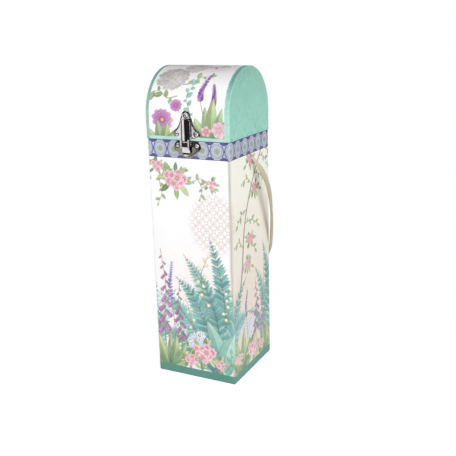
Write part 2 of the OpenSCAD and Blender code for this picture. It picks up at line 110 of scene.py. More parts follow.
place_camera()

# ---------------------------------------------------------------- colours and shader nodes

WHITE = (1, 1, 1, 1)


def rgb(text):
    """A web colour as an array of sRGB 0-1."""
    return np.array([int(text[i : i + 2], 16) for i in (0, 2, 4)]) / 255


def linear(colour):
    """sRGB 0-1 as scene linear."""
    return np.where(colour <= 0.04045, colour / 12.92, ((colour + 0.055) / 1.055) ** 2.4)


def hexed(text):
    """A web colour as scene linear, with alpha."""
    return (*linear(rgb(text)).tolist(), 1.0)


class Maker:
    """The node tree of a material or of the world, written a node to a line."""

    def __init__(self, name, owner=None, output="OutputMaterial"):
        self.owner = owner or bpy.data.materials.new(name)
        self.owner.use_nodes = True
        self.tree = self.owner.node_tree
        self.tree.nodes.clear()
        self.out = self.node(output)

    def node(self, kind, inputs=None, **settings):
        made = self.tree.nodes.new("ShaderNode" + kind)
        for key, value in settings.items():
            setattr(made, key, value)
        for key, value in (inputs or {}).items():
            self.put(made.inputs[key], value)
        return made

    def put(self, socket, value):
        if isinstance(value, bpy.types.NodeSocket):
            self.tree.links.new(value, socket)
        elif isinstance(value, bpy.types.Node):
            self.tree.links.new(value.outputs[0], socket)
        else:
            socket.default_value = value

    def place(self):
        """Where a point lies on the object, in metres, however the object moves."""
        return self.node("TexCoord").outputs["Object"]

    def seen(self):
        """1 for what the camera sees, straight or mirrored in metal, and 0 for light on the object."""
        path = self.node("LightPath").outputs
        return self.math("MAXIMUM", path["Is Camera Ray"], path["Is Glossy Ray"])

    def noise(self, scale, detail=3.0, rough=0.5, vector=None):
        return self.node("TexNoise", {
            "Vector": vector or self.place(), "Scale": scale, "Detail": detail, "Roughness": rough
        }).outputs["Fac"]

    def math(self, operation, a, b=0.0):
        return self.node("Math", {0: a, 1: b}, operation=operation).outputs[0]

    def ramp(self, value, low, high, to_low=0.0, to_high=1.0):
        return self.node("MapRange", {
            "Value": value, "From Min": low, "From Max": high, "To Min": to_low, "To Max": to_high
        }).outputs["Result"]

    def mix(self, factor, a, b, blend="MIX"):
        made = self.node("Mix", data_type="RGBA", blend_type=blend)
        for key, value in (("Factor", factor), ("A", a), ("B", b)):
            self.put(made.inputs[key], value)
        return made.outputs["Result"]

    def bump(self, height, strength, distance):
        return self.node("Bump", {"Height": height, "Strength": strength, "Distance": distance}).outputs[0]

    def surface(self, shader):
        """Gives the material or the world its shader."""
        self.put(self.out.inputs["Surface"], shader)
        return self.owner

    def finish(self, **inputs):
        return self.surface(self.node("BsdfPrincipled", {k.replace("_", " "): v for k, v in inputs.items()}))


def dress(names, material):
    for name in names:
        mesh = nodes[name].data
        mesh.materials.clear()
        mesh.materials.append(material)


# ---------------------------------------------------------------- materials


def wood_material():
    m = Maker("board_wood")
    grain = m.node("Mapping", {"Vector": m.place(), "Scale": (1.0, 1.0, 0.08)})
    rings = m.noise(260.0, 6.0, 0.6, vector=grain.outputs[0])
    fine = m.noise(1400.0, 3.0, 0.6, vector=grain.outputs[0])
    colour = m.mix(m.ramp(rings, 0.3, 0.7), hexed("b99466"), hexed("d4b485"))
    colour = m.mix(m.ramp(fine, 0.45, 0.7, 0.0, 0.35), colour, hexed("9c7748"))
    return m.finish(
        Base_Color=colour, Roughness=m.ramp(fine, 0.3, 0.7, 0.6, 0.8),
        Normal=m.bump(fine, 0.4, 0.0002),
    )


def plain_paper(name, colour, rough, tint):
    """Paper of one colour: faint fibres, slight mottling and a satin skin."""
    m = Maker(name)
    mottle = m.noise(90.0, 4.0, 0.6)
    fibre = m.noise(2600.0, 3.0, 0.6)
    base = hexed(colour)
    dark = tuple(c * (1 - 2.2 * tint) for c in base[:3]) + (1.0,)
    light = tuple(min(1.0, c * (1 + tint)) for c in base[:3]) + (1.0,)
    shade = m.mix(m.ramp(mottle, 0.3, 0.7), dark, light)
    return m.finish(
        Base_Color=shade, Roughness=m.ramp(fibre, 0.3, 0.7, rough - 0.06, rough + 0.08),
        Normal=m.bump(fibre, 0.25, 0.00006),
    )


def printed_paper(name, rough):
    """Paper whose print is painted on the mesh as a colour attribute."""
    m = Maker(name)
    ink = m.node("VertexColor", layer_name="print").outputs["Color"]
    mottle = m.noise(70.0, 4.0, 0.6)
    fibre = m.noise(2400.0, 3.0, 0.6)
    ink = m.mix(m.ramp(mottle, 0.35, 0.75, 0.0, 0.06), ink, hexed("e6ddd2"), "MULTIPLY")
    return m.finish(
        Base_Color=ink, Roughness=m.ramp(fibre, 0.3, 0.7, rough - 0.05, rough + 0.08),
        Normal=m.bump(fibre, 0.2, 0.00005),
    )


def nickel(name, rough=0.08, base="e6e5e6", cloudy="cfcac4"):
    m = Maker(name)
    cloud = m.noise(220.0, 3.0, 0.6)
    fine = m.noise(3500.0, 2.0, 0.5)
    colour = m.mix(m.ramp(cloud, 0.35, 0.75), hexed(base), hexed(cloudy))
    return m.finish(
        Base_Color=colour, Metallic=1.0, Roughness=m.ramp(cloud, 0.3, 0.75, rough - 0.03, rough + 0.06),
        Normal=m.bump(fine, 0.08, 0.00003),
    )


PLINTH = plain_paper("plinth_paper", "569084", 0.48, 0.05)
NICKEL = nickel("latch_nickel")

dress([n for n in nodes if n.endswith("_board")], wood_material())
dress([n for n in nodes if n.endswith("_lining")], plain_paper("lining_paper", "ece6d8", 0.62, 0.02))
dress(["bottom_sheet"], PLINTH)
dress(["lid_rim_paper"], plain_paper("rim_paper", "b7dfd5", 0.45, 0.03))
dress([n for n in nodes if n.startswith("hinge_")], nickel("hinge_nickel", 0.24, "c4c2bc"))
dress([n for n in nodes if n.startswith("latch_")], NICKEL)
dress(["latch_base_nails", "latch_catch_nails"], nickel("nail_nickel", 0.17, "f4f2f0"))

# ---------------------------------------------------------------- painting


def smooth_noise(shape, cell, seed):
    """Soft noise from 0 to 1, with features about cell samples across."""
    rng = np.random.default_rng(seed)
    total, weight = np.zeros(shape), 0.0
    for octave in range(3):
        size = max(2.0, cell / 2**octave)
        rows, cols = int(shape[0] / size) + 3, int(shape[1] / size) + 3
        knots = rng.random((rows, cols))
        y = np.arange(shape[0]) / size
        x = np.arange(shape[1]) / size
        j, i = y.astype(int), x.astype(int)
        v, u = y - j, x - i
        v, u = (v * v * (3 - 2 * v))[:, None], (u * u * (3 - 2 * u))[None, :]
        a = knots[np.ix_(j, i)] * (1 - u) + knots[np.ix_(j, i + 1)] * u
        b = knots[np.ix_(j + 1, i)] * (1 - u) + knots[np.ix_(j + 1, i + 1)] * u
        total += (a * (1 - v) + b * v) / 2**octave
        weight += 1 / 2**octave
    return total / weight


def curve(points, count=24):
    """Points along a smooth line through the given ones."""
    p = np.array(points, float)
    p = np.vstack([2 * p[0] - p[1], p, 2 * p[-1] - p[-2]])
    t = np.linspace(0, 1, count, endpoint=False)[:, None]
    out = []
    for a, b, c, d in zip(p, p[1:], p[2:], p[3:]):
        square, cube = 2 * a - 5 * b + 4 * c - d, 3 * b - a - 3 * c + d
        out.append(0.5 * (2 * b + (c - a) * t + square * t**2 + cube * t**3))
    return np.vstack(out + [p[-2][None]])


def along(line):
    """How far along a line each of its points lies."""
    return np.concatenate([[0], np.cumsum(np.hypot(*np.diff(line, axis=0).T))])


def point_at(line, share):
    """Which point of a line lies at some share of its length."""
    run = along(line)
    return min(len(line) - 2, int(np.searchsorted(run, share * run[-1])))


def heading(line, j):
    """The direction of a line after its point j, in degrees."""
    return math.degrees(math.atan2(*(line[j + 1] - line[j])[::-1]))


def off(x, y, r, degrees):
    """The point at distance r from x, y in some direction."""
    a = math.radians(degrees)
    return x + r * math.cos(a), y + r * math.sin(a)


def widen(inside, px, py, ends, wides, reach):
    """Adds a stretch of line to inside, which holds how deep in the line each sample lies, in mm."""
    a, b = ends
    low, high = np.minimum(a, b) - reach, np.maximum(a, b) + reach
    cols = slice(*np.searchsorted(px[0], [low[0], high[0]]))
    rows = slice(*np.searchsorted(py[:, 0], [low[1], high[1]]))
    x, y = px[:, cols], py[rows]
    if x.size and y.size:
        d = b - a
        t = np.clip(((x - a[0]) * d[0] + (y - a[1]) * d[1]) / (d @ d + 1e-9), 0, 1)
        near = (wides[0] * (1 - t) + wides[1] * t) / 2 - np.hypot(x - a[0] - t * d[0], y - a[1] - t * d[1])
        inside[rows, cols] = np.maximum(inside[rows, cols], near)


def half_width(q, length, width, fullness, widest, teeth):
    """Half a petal's width at the share q of its length, with teeth cut into its edge."""
    half = width / 2 * np.sin(np.pi * q**widest) ** fullness
    if teeth:
        half = half * (1 - teeth * (1 - np.mod(q * length / 2.2, 1.0)) * np.minimum(1, 4 * (1 - q)))
    return half


def pen_lines(q, t, half, width, ink):
    """The shade of the fine dark lines that run along a petal."""
    lines = np.cos(np.pi * max(3, round(width / 1.5)) * t / np.maximum(half, 0.5)) * (np.abs(t) < half)
    return 1 - ink * np.clip(lines, 0, 1) * np.sin(np.pi * q)


def vein_lines(q, t, length, veins):
    """The cover of a leaf's pale middle rib and slanting side veins."""
    side = np.mod(q * length / 2.6 - np.abs(t) / 3.2, 1.0)
    line = np.clip(1 - np.abs(side - 0.5) * 9, 0, 1) * 0.5
    middle = np.clip(1.2 - np.abs(t) / 0.5, 0, 1)
    return veins * np.maximum(line, middle) * (1 - 0.5 * q)


class Sheet:
    """A flat sheet of print, painted with formulas. x runs along it and y up it, in mm."""

    def __init__(self, width, height, step, ground, seed, around=False):
        self.step = step
        self.width = width
        self.around = around
        self.origin = 0.0  # where x = 0 of what is painted lies on the sheet
        self.shape = (round(height / step) + 1, round(width / step) + 1)
        self.rgb = np.empty((*self.shape, 3))
        self.rgb[:] = rgb(ground)
        self.wash = smooth_noise(self.shape, 14 / step, seed)

    def windows(self, x0, y0, x1, y1):
        """The parts of the sheet inside a box, with the mm of their samples."""
        rows, cols = self.shape
        for turn in (-1, 0, 1) if self.around else (0,):
            shift = self.origin + turn * self.width
            i0, i1 = max(0, int((x0 + shift) / self.step)), min(cols, int((x1 + shift) / self.step) + 2)
            j0, j1 = max(0, int(y0 / self.step)), min(rows, int(y1 / self.step) + 2)
            if i1 > i0 and j1 > j0:
                x = np.arange(i0, i1) * self.step - shift
                y = np.arange(j0, j1) * self.step
                yield (slice(j0, j1), slice(i0, i1)), x[None, :], y[:, None]

    def near(self, x, y, rx, ry=None):
        """The parts of the sheet that lie no further than rx and ry from a point."""
        ry = ry or rx
        return self.windows(x - rx, y - ry, x + rx, y + ry)

    def lay(self, where, colour, cover):
        patch = self.rgb[where]
        patch += (colour - patch) * np.clip(cover, 0, 1)[..., None]

    def edge(self, inside):
        """Cover of a shape from the mm that a sample lies inside its edge."""
        return np.clip(inside / self.step + 0.5, 0, 1)

    def disc(self, x, y, r, colour, cover=1.0, soft=0.0):
        for where, px, py in self.near(x, y, r + 1):
            inside = r - np.hypot(px - x, py - y)
            self.lay(where, colour, (np.clip(inside / soft, 0, 1) if soft else self.edge(inside)) * cover)

    def ring(self, x, y, r, width, colour, cover=1.0):
        for where, px, py in self.near(x, y, r + width):
            away = np.abs(np.hypot(px - x, py - y) - r)
            self.lay(where, colour, self.edge(width / 2 - away) * cover)

    def stroke(self, points, wide, narrow, colour, cover=1.0):
        """A line of changing width along points."""
        p = np.array(points, float)
        wides = np.linspace(wide, narrow, len(p))
        reach = max(wide, narrow) + 1
        for where, px, py in self.windows(*(p.min(0) - reach), *(p.max(0) + reach)):
            inside = np.full(np.broadcast(px, py).shape, -9.0)
            for k in range(len(p) - 1):
                widen(inside, px, py, p[k : k + 2], wides[k : k + 2], reach)
            self.lay(where, colour, self.edge(inside) * cover)

    def petal(self, x, y, angle, length, width, root, tip, rim=None, cover=1.0, fullness=0.7,
              widest=1.0, bend=0.0, veins=0.0, teeth=0.0, rim_w=0.5, fold=0.0, ink=0.1):
        """A petal or leaf from its root at x, y, coloured root, tip and rim. bend curves it, in mm."""
        c, s = math.cos(math.radians(angle)), math.sin(math.radians(angle))
        for where, px, py in self.near(x, y, length + width + abs(bend)):
            dx, dy = px - x, py - y
            a = (dx * c + dy * s) / length
            t = -dx * s + dy * c - bend * 4 * a * (1 - a)
            q = np.clip(a, 1e-4, 1 - 1e-4)
            half = half_width(q, length, width, fullness, widest, teeth)
            inside = np.where((a > 0) & (a < 1), half - np.abs(t), -9)
            alpha = self.edge(inside * min(1.0, 4 * width / length) if width < length / 4 else inside)
            if not alpha.any():
                continue
            shade = root + (tip - root) * np.clip(q * 1.15 - 0.1, 0, 1)[..., None] ** 0.9
            shade = shade + (self.wash[where][..., None] - 0.5) * 0.22
            if fold:
                shade = shade * (1 - fold * (t > 0))[..., None]
            if ink and width > 3:
                shade = shade * pen_lines(q, t, half, width, ink)[..., None]
            if veins:
                shade = shade + vein_lines(q, t, length, veins)[..., None] * (rgb("fbfbe6") - shade)
            if rim is not None:
                shade = shade + (rim - shade) * (0.75 * np.exp(-np.maximum(inside, 0) / rim_w))[..., None]
            self.lay(where, np.clip(shade, 0, 1), alpha * cover)


# ---------------------------------------------------------------- flowers and leaves


def bell(sheet, x, y, angle, length, width, dark, light):
    """A hanging bell from its stalk at x, y: narrow at the top, with a flared mouth and a dark throat."""
    c, s = math.cos(math.radians(angle)), math.sin(math.radians(angle))
    for where, px, py in sheet.near(x, y, length * 1.3 + width):
        a = ((px - x) * c + (py - y) * s) / length
        t = -(px - x) * s + (py - y) * c
        q = np.clip(a, 0, 1)
        crown = np.sqrt(np.clip(1 - (1 - q / 0.2) ** 2 * (q < 0.2), 0, 1))
        half = width / 2 * (0.52 + 0.22 * q + 0.26 * q**7) * crown
        body = sheet.edge(np.where((a > 0) & (a < 1), half - np.abs(t), -9))
        side = np.clip(t / np.maximum(half, 0.3), -1, 1)
        lit = 0.35 + 0.65 * np.clip(0.8 - 0.9 * np.abs(side + 0.25), 0, 1)
        shade = dark + (light - dark) * lit[..., None]
        shade = shade + (sheet.wash[where][..., None] - 0.5) * 0.2
        sheet.lay(where, np.clip(shade * (1 - 0.18 * (1 - q))[..., None], 0, 1), body)
        lobes = 1 + 0.1 * np.cos(5 * np.arctan2(t, (a - 1) * length * 2.2))
        mouth = np.hypot((a - 1) * length / (0.17 * width), t / (0.5 * width)) / lobes
        sheet.lay(where, light, np.clip((1 - mouth) * 0.5 * width / sheet.step * 0.5, 0, 1))
        throat = np.hypot((a - 1) * length / (0.1 * width), t / (0.34 * width))
        sheet.lay(where, dark * 0.55, np.clip((1 - throat) * 0.3 * width / sheet.step, 0, 1) * 0.9)


def blossom(sheet, x, y, r, heart, tip, rim, turn):
    """An open flower of five broad petals, seen from the front."""
    turns = [turn + 72 * k for k in range(5)]
    for angle in turns:
        sheet.petal(x, y, angle, r, 0.78 * r, heart, tip, rim, 1, 0.55, 1.5, rim_w=0.45)
    for angle in turns:
        sheet.stroke([off(x, y, 0.12 * r, angle), off(x, y, 0.5 * r, angle)], 0.5, 0.2, rgb("b0567a"), 0.5)
    sheet.disc(x, y, 0.17 * r, rgb("e8d27a"))
    sheet.ring(x, y, 0.2 * r, 0.35, rgb("a8633c"), 0.6)


def double_bloom(sheet, x, y, r, dark, pale, rim, turn, rows=3):
    """A full flower of several rows of petals."""
    for row in range(rows):
        size = r * (1 - 0.27 * row)
        count = 7 - row
        for k in range(count):
            angle = turn + 37 * row + 360 / count * k
            sheet.petal(x, y, angle, size, size * 0.86, dark, pale, rim, 1, 0.5, 1.35, rim_w=0.4)
    for k in range(5):
        sheet.disc(*off(x, y, 0.09 * r, turn + 72 * k), 0.07 * r, rgb("f0dc8c"))


def ray_bloom(sheet, x, y, r, root, tip, rim, heart, turn):
    """A round flower of three rows of narrow petals."""
    count = 11
    for row in range(3):
        size = r * (1 - 0.26 * row)
        for k in range(count):
            angle = turn + 360 / count * (k + 0.5 * row)
            length = size * (0.93 + 0.07 * math.cos(5 * k))
            sheet.petal(x, y, angle, length, size * 5.4 / count, root, tip, rim, 0.9, 0.6, 1.5, rim_w=0.3)
    sheet.disc(x, y, 0.16 * r, heart)
    for k in range(9):
        sheet.disc(*off(x, y, 0.1 * r, 40 * k), 0.3, heart * 0.75)


def frond(sheet, points, longest, dark, light):
    """A fern frond: narrow leaflets in pairs, 4.4 mm apart, along a bent rib."""
    line = curve(points, 30)
    count = int(along(line)[-1] / 4.4)
    for k in range(count, 1, -1):
        at = k / (count + 1)
        j = point_at(line, at)
        size = longest * math.sin(math.pi * min(1, at * 0.9 + 0.12)) ** 0.75
        tone = dark + (light - dark) * (0.35 + 0.65 * math.sin(1.7 * k) ** 2)
        for side in (-1, 1):
            angle = heading(line, j) + side * (62 - 14 * at)
            sheet.petal(*line[j], angle, size, size * 0.26 + 0.7, tone * 0.86, tone * 1.06, tone * 0.6, 1,
                        0.75, 0.75, -side * size * 0.05, 0.12, rim_w=0.28, fold=0.08 if side > 0 else 0.0)
    sheet.stroke(line[::3], 1.3, 0.4, rgb("3f6f66"), 0.9)


def blade(sheet, x, y, angle, length, width, dark, light, bend, teeth):
    """A long leaf with a pale middle rib."""
    sheet.petal(x, y, angle, length, width, dark, light, dark * 0.72, 1, 0.85, 0.7, bend, 0.45, teeth,
                fold=0.16)


def sprig(sheet, points, leaf_len, dark, light, gap=6.0, width=0.42, stem="8a7f62"):
    """A twig with a leaf on either side in turn, and one at its tip."""
    line = curve(points)
    sheet.stroke(line[::3], 0.9, 0.4, rgb(stem), 0.95)
    count = max(2, int(along(line)[-1] / gap))
    for k in range(1, count + 1):
        j = point_at(line, k / count)
        side = 1 if k % 2 else -1
        turn = 0 if k == count else side * 52
        size = leaf_len * (0.75 + 0.25 * math.cos(2.3 * k))
        tone = dark + (light - dark) * (0.5 + 0.5 * math.sin(3.1 * k))
        sheet.petal(*line[j], heading(line, j) + turn, size, size * width, tone * 0.92, tone, tone * 0.55,
                    0.95, 0.75, 0.85, veins=0.35, rim_w=0.35, fold=0.1)


def bell_spire(sheet, points, count, size, dark, light):
    """A tall stem hung with bells that grow smaller upwards."""
    line = curve(points, 20)
    sheet.stroke(line[::2], 1.5, 0.5, rgb("7d9460"))
    for k in range(count):
        at = 0.34 + 0.64 * k / count
        x, y = line[min(len(line) - 2, int(at * (len(line) - 1)))]
        grow = size * (1 - 0.72 * k / count)
        side = 1 if k % 2 else -1
        angle = -90 + side * (40 + 8 * math.sin(5 * k))
        bell(sheet, x, y, angle, grow * 1.06, grow * 0.72, dark, light)
        sheet.petal(x, y, angle, 0.34 * grow, 0.3 * grow, rgb("9dbb7c"), rgb("86a566"), None, 1, ink=0)


def seed_spike(sheet, points, count, size, dark, light):
    """A stem with a tapering spike of small florets."""
    line = curve(points, 20)
    sheet.stroke(line[::2], 0.9, 0.5, rgb("86966c"), 0.95)
    for k in range(count):
        at = 0.56 + 0.44 * k / count
        j = min(len(line) - 2, int(at * (len(line) - 1)))
        grow = size * (1 - 0.6 * k / count)
        for side in (-1, 0, 1):
            tone = dark + (light - dark) * (0.5 + 0.5 * math.sin(7 * k + 2 * side))
            sheet.petal(*line[j], heading(line, j) + side * 46, grow, grow * 0.5, tone * 0.9, tone * 1.08,
                        tone * 0.7, 0.95, 0.6, 1.1, rim_w=0.25)


def floret_spots(rng, x, y, r, floret):
    """Random places in a slightly flat head, none of them too near another, from the top down."""
    spots = []
    for _ in range(900):
        a, d = rng.random() * 2 * math.pi, r * math.sqrt(rng.random())
        spot = (x + d * math.cos(a), y + 0.85 * d * math.sin(a))
        if all(math.hypot(spot[0] - q[0], spot[1] - q[1]) > floret * 0.92 for q in spots):
            spots.append(spot)
    return sorted(spots, key=lambda p: -p[1])


def cluster(sheet, x, y, r, tones, seed, floret):
    """A round head of many small four-petalled florets, with dark specks between them."""
    rng = np.random.default_rng(seed)
    for px, py in floret_spots(rng, x, y, r, floret):
        tone = tones[rng.integers(len(tones))]
        shade = 1 - 0.12 * math.hypot(px - x - 0.3 * r, py - y + 0.4 * r) / r
        turn = rng.random() * 90
        for k in range(4):
            sheet.petal(px, py, turn + 90 * k, floret, floret * 0.95, tone * 0.9 * shade, tone * shade,
                        tone * 0.8, 0.9, 0.5, 1.3, rim_w=0.28)
        sheet.disc(px, py, 0.5, rgb("b9b48c"))
        if rng.random() < 0.4:
            sheet.disc(px + floret * 0.8, py, 0.55, rgb("6f6f82"), 0.6)


def trellis(sheet, x, y, rx, ry, pitch, colour, cover):
    """Old lattice of linked four-lobed rings, fading at its edge."""
    for where, px, py in sheet.near(x, y, rx, ry):
        away = np.hypot((px - x) / rx, (py - y) / ry)
        fade = np.clip((1 - away) * 3.2, 0, 1)
        lines = np.zeros_like(away)
        for ox, oy in ((0, 0), (0.5, 0.5)):
            gx = np.mod((px - x) / pitch + ox, 1) - 0.5
            gy = np.mod((py - y) / pitch + oy, 1) - 0.5
            for cx, cy in ((0.2, 0), (-0.2, 0), (0, 0.2), (0, -0.2)):
                d = np.abs(np.hypot(gx - cx, gy - cy) - 0.21) * pitch
                lines = np.maximum(lines, np.clip(1.15 - d / 0.55, 0, 1))
            dot = np.hypot(gx, gy) * pitch
            lines = np.maximum(lines, 0.8 * np.clip(1.6 - dot, 0, 1))
        sheet.lay(where, colour, lines * fade * cover)


def blot(sheet, x, y, rx, ry, colour, cover):
    """A soft wash of colour."""
    for where, px, py in sheet.near(x, y, rx, ry):
        away = np.hypot((px - x) / rx, (py - y) / ry)
        sheet.lay(where, colour, cover * np.clip(1 - away, 0, 1) ** 1.4)


TEAL_D, TEAL, TEAL_L = rgb("4c968c"), rgb("79c2b2"), rgb("cbeee2")
BLUE_D, BLUE_L = rgb("5792a4"), rgb("b2dbde")
LEAF_D, LEAF, LEAF_L = rgb("74996a"), rgb("a1bf7e"), rgb("d3dfa6")
PINK_D, PINK, PINK_L = rgb("c4577a"), rgb("e2a0b2"), rgb("f9e6e8")
VIOLET_D, VIOLET, VIOLET_L = rgb("7a2a80"), rgb("a848a0"), rgb("e2b4dc")
FROST = rgb("d3d9e6")
CREAM_D, CREAM = rgb("c9b698"), rgb("f4ebd8")
TAUPE = rgb("d6bfb9")


def grounds(sheet):
    """White front and back, cream sides, warmer low down, and painted shade along the four rounded edges."""
    rows, cols = sheet.shape
    y = np.linspace(0, 1, rows)[:, None]
    u = np.linspace(0, 4, cols)[None, :]
    on_side = np.clip(0.5 + 25 * np.minimum(np.mod(u, 2) - 1, 2.0 - np.mod(u, 2)), 0, 1)[..., None]
    top = rgb("fcfdfe") + (rgb("fdfbf0") - rgb("fcfdfe")) * on_side
    low = rgb("f9f4f2") + (rgb("e6d6ca") - rgb("f9f4f2")) * on_side
    mix = np.clip(1.05 - 1.25 * y, 0, 1)[..., None]
    sheet.rgb[:] = top + (low - top) * mix + (sheet.wash[..., None] - 0.5) * 0.02
    crease = (np.mod(u + 0.5, 1) - 0.5) * SIDE
    # painted shade along the rounded edges where the paper turns round the box, strongest on the front-right
    # and back-left edges
    edge_shade_weight = 0.3 + 0.7 * np.mod(np.round(u), 2)
    painted_edge_shade = edge_shade_weight * np.exp(-(((crease + 0.6) / 1.8) ** 2)) * (0.75 + 0.5 * sheet.wash)
    sheet.rgb *= 1 - (1 - rgb("c1bcba")) * painted_edge_shade[..., None]


def scroll(points, x, y, side):
    """A curl of scrollwork from points round x, y, mirrored where side is -1."""
    return curve([(x + side * a, y + b) for a, b in points], 8)


def faded_scrolls(sheet, x0, y0, columns, rows, cover):
    """Old scrollwork, nearly faded away, behind the flowers."""
    tone = rgb("e3c9c6")
    curls = (
        ([(0, -13), (7, -10), (10, -3), (7, 3), (3, 1), (4, -3)], 1.3),
        ([(0, -2), (5, 5), (9, 8), (8, 13), (4, 12), (5, 9)], 1.1),
    )
    for row in range(rows):
        for col in range(columns):
            x, y = x0 + 26 * col + 13 * (row % 2), y0 + 24 * row
            for side in (-1, 1):
                for points, wide in curls:
                    sheet.stroke(scroll(points, x, y, side), wide, 0.5, tone, cover)
                sheet.petal(x + side * 4, y - 8, 90 - side * 55, 7, 2.4, tone, tone, None, cover * 0.8, ink=0)
            sheet.petal(x, y + 2, 90, 10, 4, tone, tone, None, cover * 0.8, ink=0)


def tuft(sheet, x, y, seed, count, longest, spread, wide):
    """Long toothed leaves that rise from one root."""
    rng = np.random.default_rng(seed)
    for k in range(count):
        at = (k + 0.5) / count * 2 - 1
        angle = 90 - at * spread + rng.normal() * 4
        length = longest * (1 - 0.35 * abs(at)) * (0.85 + 0.3 * rng.random())
        tone = LEAF_D + (LEAF_L - LEAF_D) * rng.random() * 0.5
        if k % 2:
            tone = tone * 0.55 + TEAL * 0.45
        width = wide * (0.8 + 0.4 * rng.random())
        blade(sheet, x + at * 4, y, angle, length, width, tone, LEAF_L, -at * length * 0.09, 0.16)


def fern_stand(sheet, x, y, lines, seed, longest):
    """Teal fronds that rise from one root; lines gives each frond's later points from the root."""
    rng = np.random.default_rng(seed)
    for k, points in enumerate(lines):
        dark = (TEAL_D, BLUE_D, TEAL)[k % 3]
        light = (TEAL_L, TEAL_L * 0.5 + TEAL * 0.5, BLUE_L)[k % 3]
        rib = [(x, y)] + [(x + a, y + b) for a, b in points]
        frond(sheet, rib, longest * (0.85 + 0.3 * rng.random()), dark, light)


def broad_leaf(sheet, x, y, angle, length, width, dark, light, bend):
    """A broad ribbed leaf."""
    sheet.petal(x, y, angle, length, width, dark, light, dark * 0.75, 1, 0.62, 0.62, bend, 0.5,
                rim_w=0.7, fold=0.13)


def berries(sheet, points, count, r, seed):
    """A thin twig with cream berries on short stalks."""
    rng = np.random.default_rng(seed)
    line = curve(points, 20)
    twig = rgb("8d9272")
    sheet.stroke(line[::2], 0.9, 0.5, twig, 0.9)
    for k in range(count):
        x, y = line[int((0.25 + 0.75 * (k + 1) / count) * (len(line) - 1))]
        bx, by = off(x, y, 2.1 * r, 90 * rng.random() + (100 if k % 2 else -10))
        sheet.stroke([(x, y), (bx, by)], 0.6, 0.5, twig, 0.9)
        sheet.disc(bx, by, r, CREAM_D)
        sheet.disc(bx - 0.1 * r, by + 0.1 * r, 0.86 * r, CREAM)
        sheet.disc(bx - 0.3 * r, by + 0.3 * r, 0.4 * r, rgb("fffaf0"), 0.9, soft=0.4 * r)


def frosty_head(sheet, x, y, r, seed, count=44):
    """A loose white head of pointed florets, drawn with fine grey pen strokes."""
    rng = np.random.default_rng(seed)
    blot(sheet, x, y, r * 1.2, r * 1.1, rgb("e9ecf2"), 0.8)
    pens = rgb("7d8599"), rgb("9ea6b8"), rgb("8c9682"), rgb("a99bb4")
    for k in range(count):
        d = r * math.sqrt(1 - k / count)
        a = 2.4 * k + 0.3 * rng.random()
        px, py = x + d * 0.9 * math.cos(a), y + d * 0.8 * math.sin(a)
        turn = math.degrees(a) + 25 * rng.normal()
        size = 3.6 + 2.4 * rng.random()
        for side in (-42, 0, 42):
            sheet.petal(px, py, turn + side, size, size * 0.5, FROST, rgb("fdfdfe"), FROST, 0.95, 0.6, 1.1,
                        rim_w=0.25)
        for side in (-1, 1):
            tip = off(px, py, size, turn + 21 * side)
            sheet.stroke([(px, py), tip], 0.75, 0.35, pens[(k + side) % 4], 0.7)


def blossom_cluster(sheet, x, y, r, seed, count=9):
    """A dense cluster of small pink blossoms, with young leaves and buds round it."""
    rng = np.random.default_rng(seed)
    for k in range(8):
        turn = 45 * k + 16 * rng.normal()
        a = math.radians(turn)
        size = r * (0.75 + 0.4 * rng.random())
        tone = (LEAF, LEAF_L, LEAF_D)[k % 3]
        sheet.petal(x + 0.7 * r * math.cos(a), y + 0.6 * r * math.sin(a), turn, size, size * 0.42, tone * 0.9,
                    tone, LEAF_D * 0.8, 1, 0.75, 0.85, veins=0.4, rim_w=0.35)
    for k in range(count):
        d = r * 0.8 * math.sqrt(1 - k / count)
        a = 2.4 * k + 0.4 * rng.random()
        px, py = x + d * math.cos(a), y + 0.85 * d * math.sin(a)
        heart = PINK_D if k % 3 else rgb("a83f66")
        size = r * (0.36 + 0.12 * rng.random())
        double_bloom(sheet, px, py, size, heart, PINK_L, PINK, 70 * rng.random(), 2)


def climber(sheet, points, shoots, seed):
    """A grey-brown stem with leafy shoots, and blossoms on every third one."""
    line = curve(points, 30)
    sheet.stroke(line, 3.4, 1.6, rgb("958a78"), 0.95)
    sheet.stroke(line - [0.6, 0], 0.9, 0.5, rgb("d3cab2"), 0.8)
    sheet.stroke(line + [0.8, 0], 0.7, 0.4, rgb("5f5648"), 0.8)
    for k, (at, dx, dy) in enumerate(shoots):
        x, y = line[int(at * (len(line) - 1))]
        bent = (0, 0), (0.4 * dx, 0.5 * dy + 3), (0.75 * dx, 0.8 * dy), (dx, dy - 5)
        sprig(sheet, [(x + a, y + b) for a, b in bent], 9, LEAF, LEAF_L, 5.6, 0.46)
        if k % 3 == 0:
            blossom_cluster(sheet, x + 0.6 * dx, y + 0.6 * dy + 3, 8, seed + k, 5)


def hanging_twigs(s):
    """Twigs with pink blossoms, which come in from the upper left."""
    sprig(s, [(-14, 256), (6, 246), (26, 238), (46, 240)], 9, LEAF_D, LEAF_L, 6.2, 0.5)
    sprig(s, [(30, 238), (52, 228), (66, 232), (84, 222)], 8, LEAF, LEAF_L, 6.0, 0.5)
    sprig(s, [(20, 240), (13, 226), (15, 212), (10, 200)], 8.5, LEAF, LEAF_L, 5.6, 0.5)
    sprig(s, [(62, 232), (67, 220), (64, 209)], 7.5, LEAF_D, LEAF_L, 5.4, 0.5)
    blossom_cluster(s, 33, 229, 14, 51)
    blossom_cluster(s, 10, 243, 8, 52, 5)
    blossom_cluster(s, 78, 226, 6.5, 53, 4)


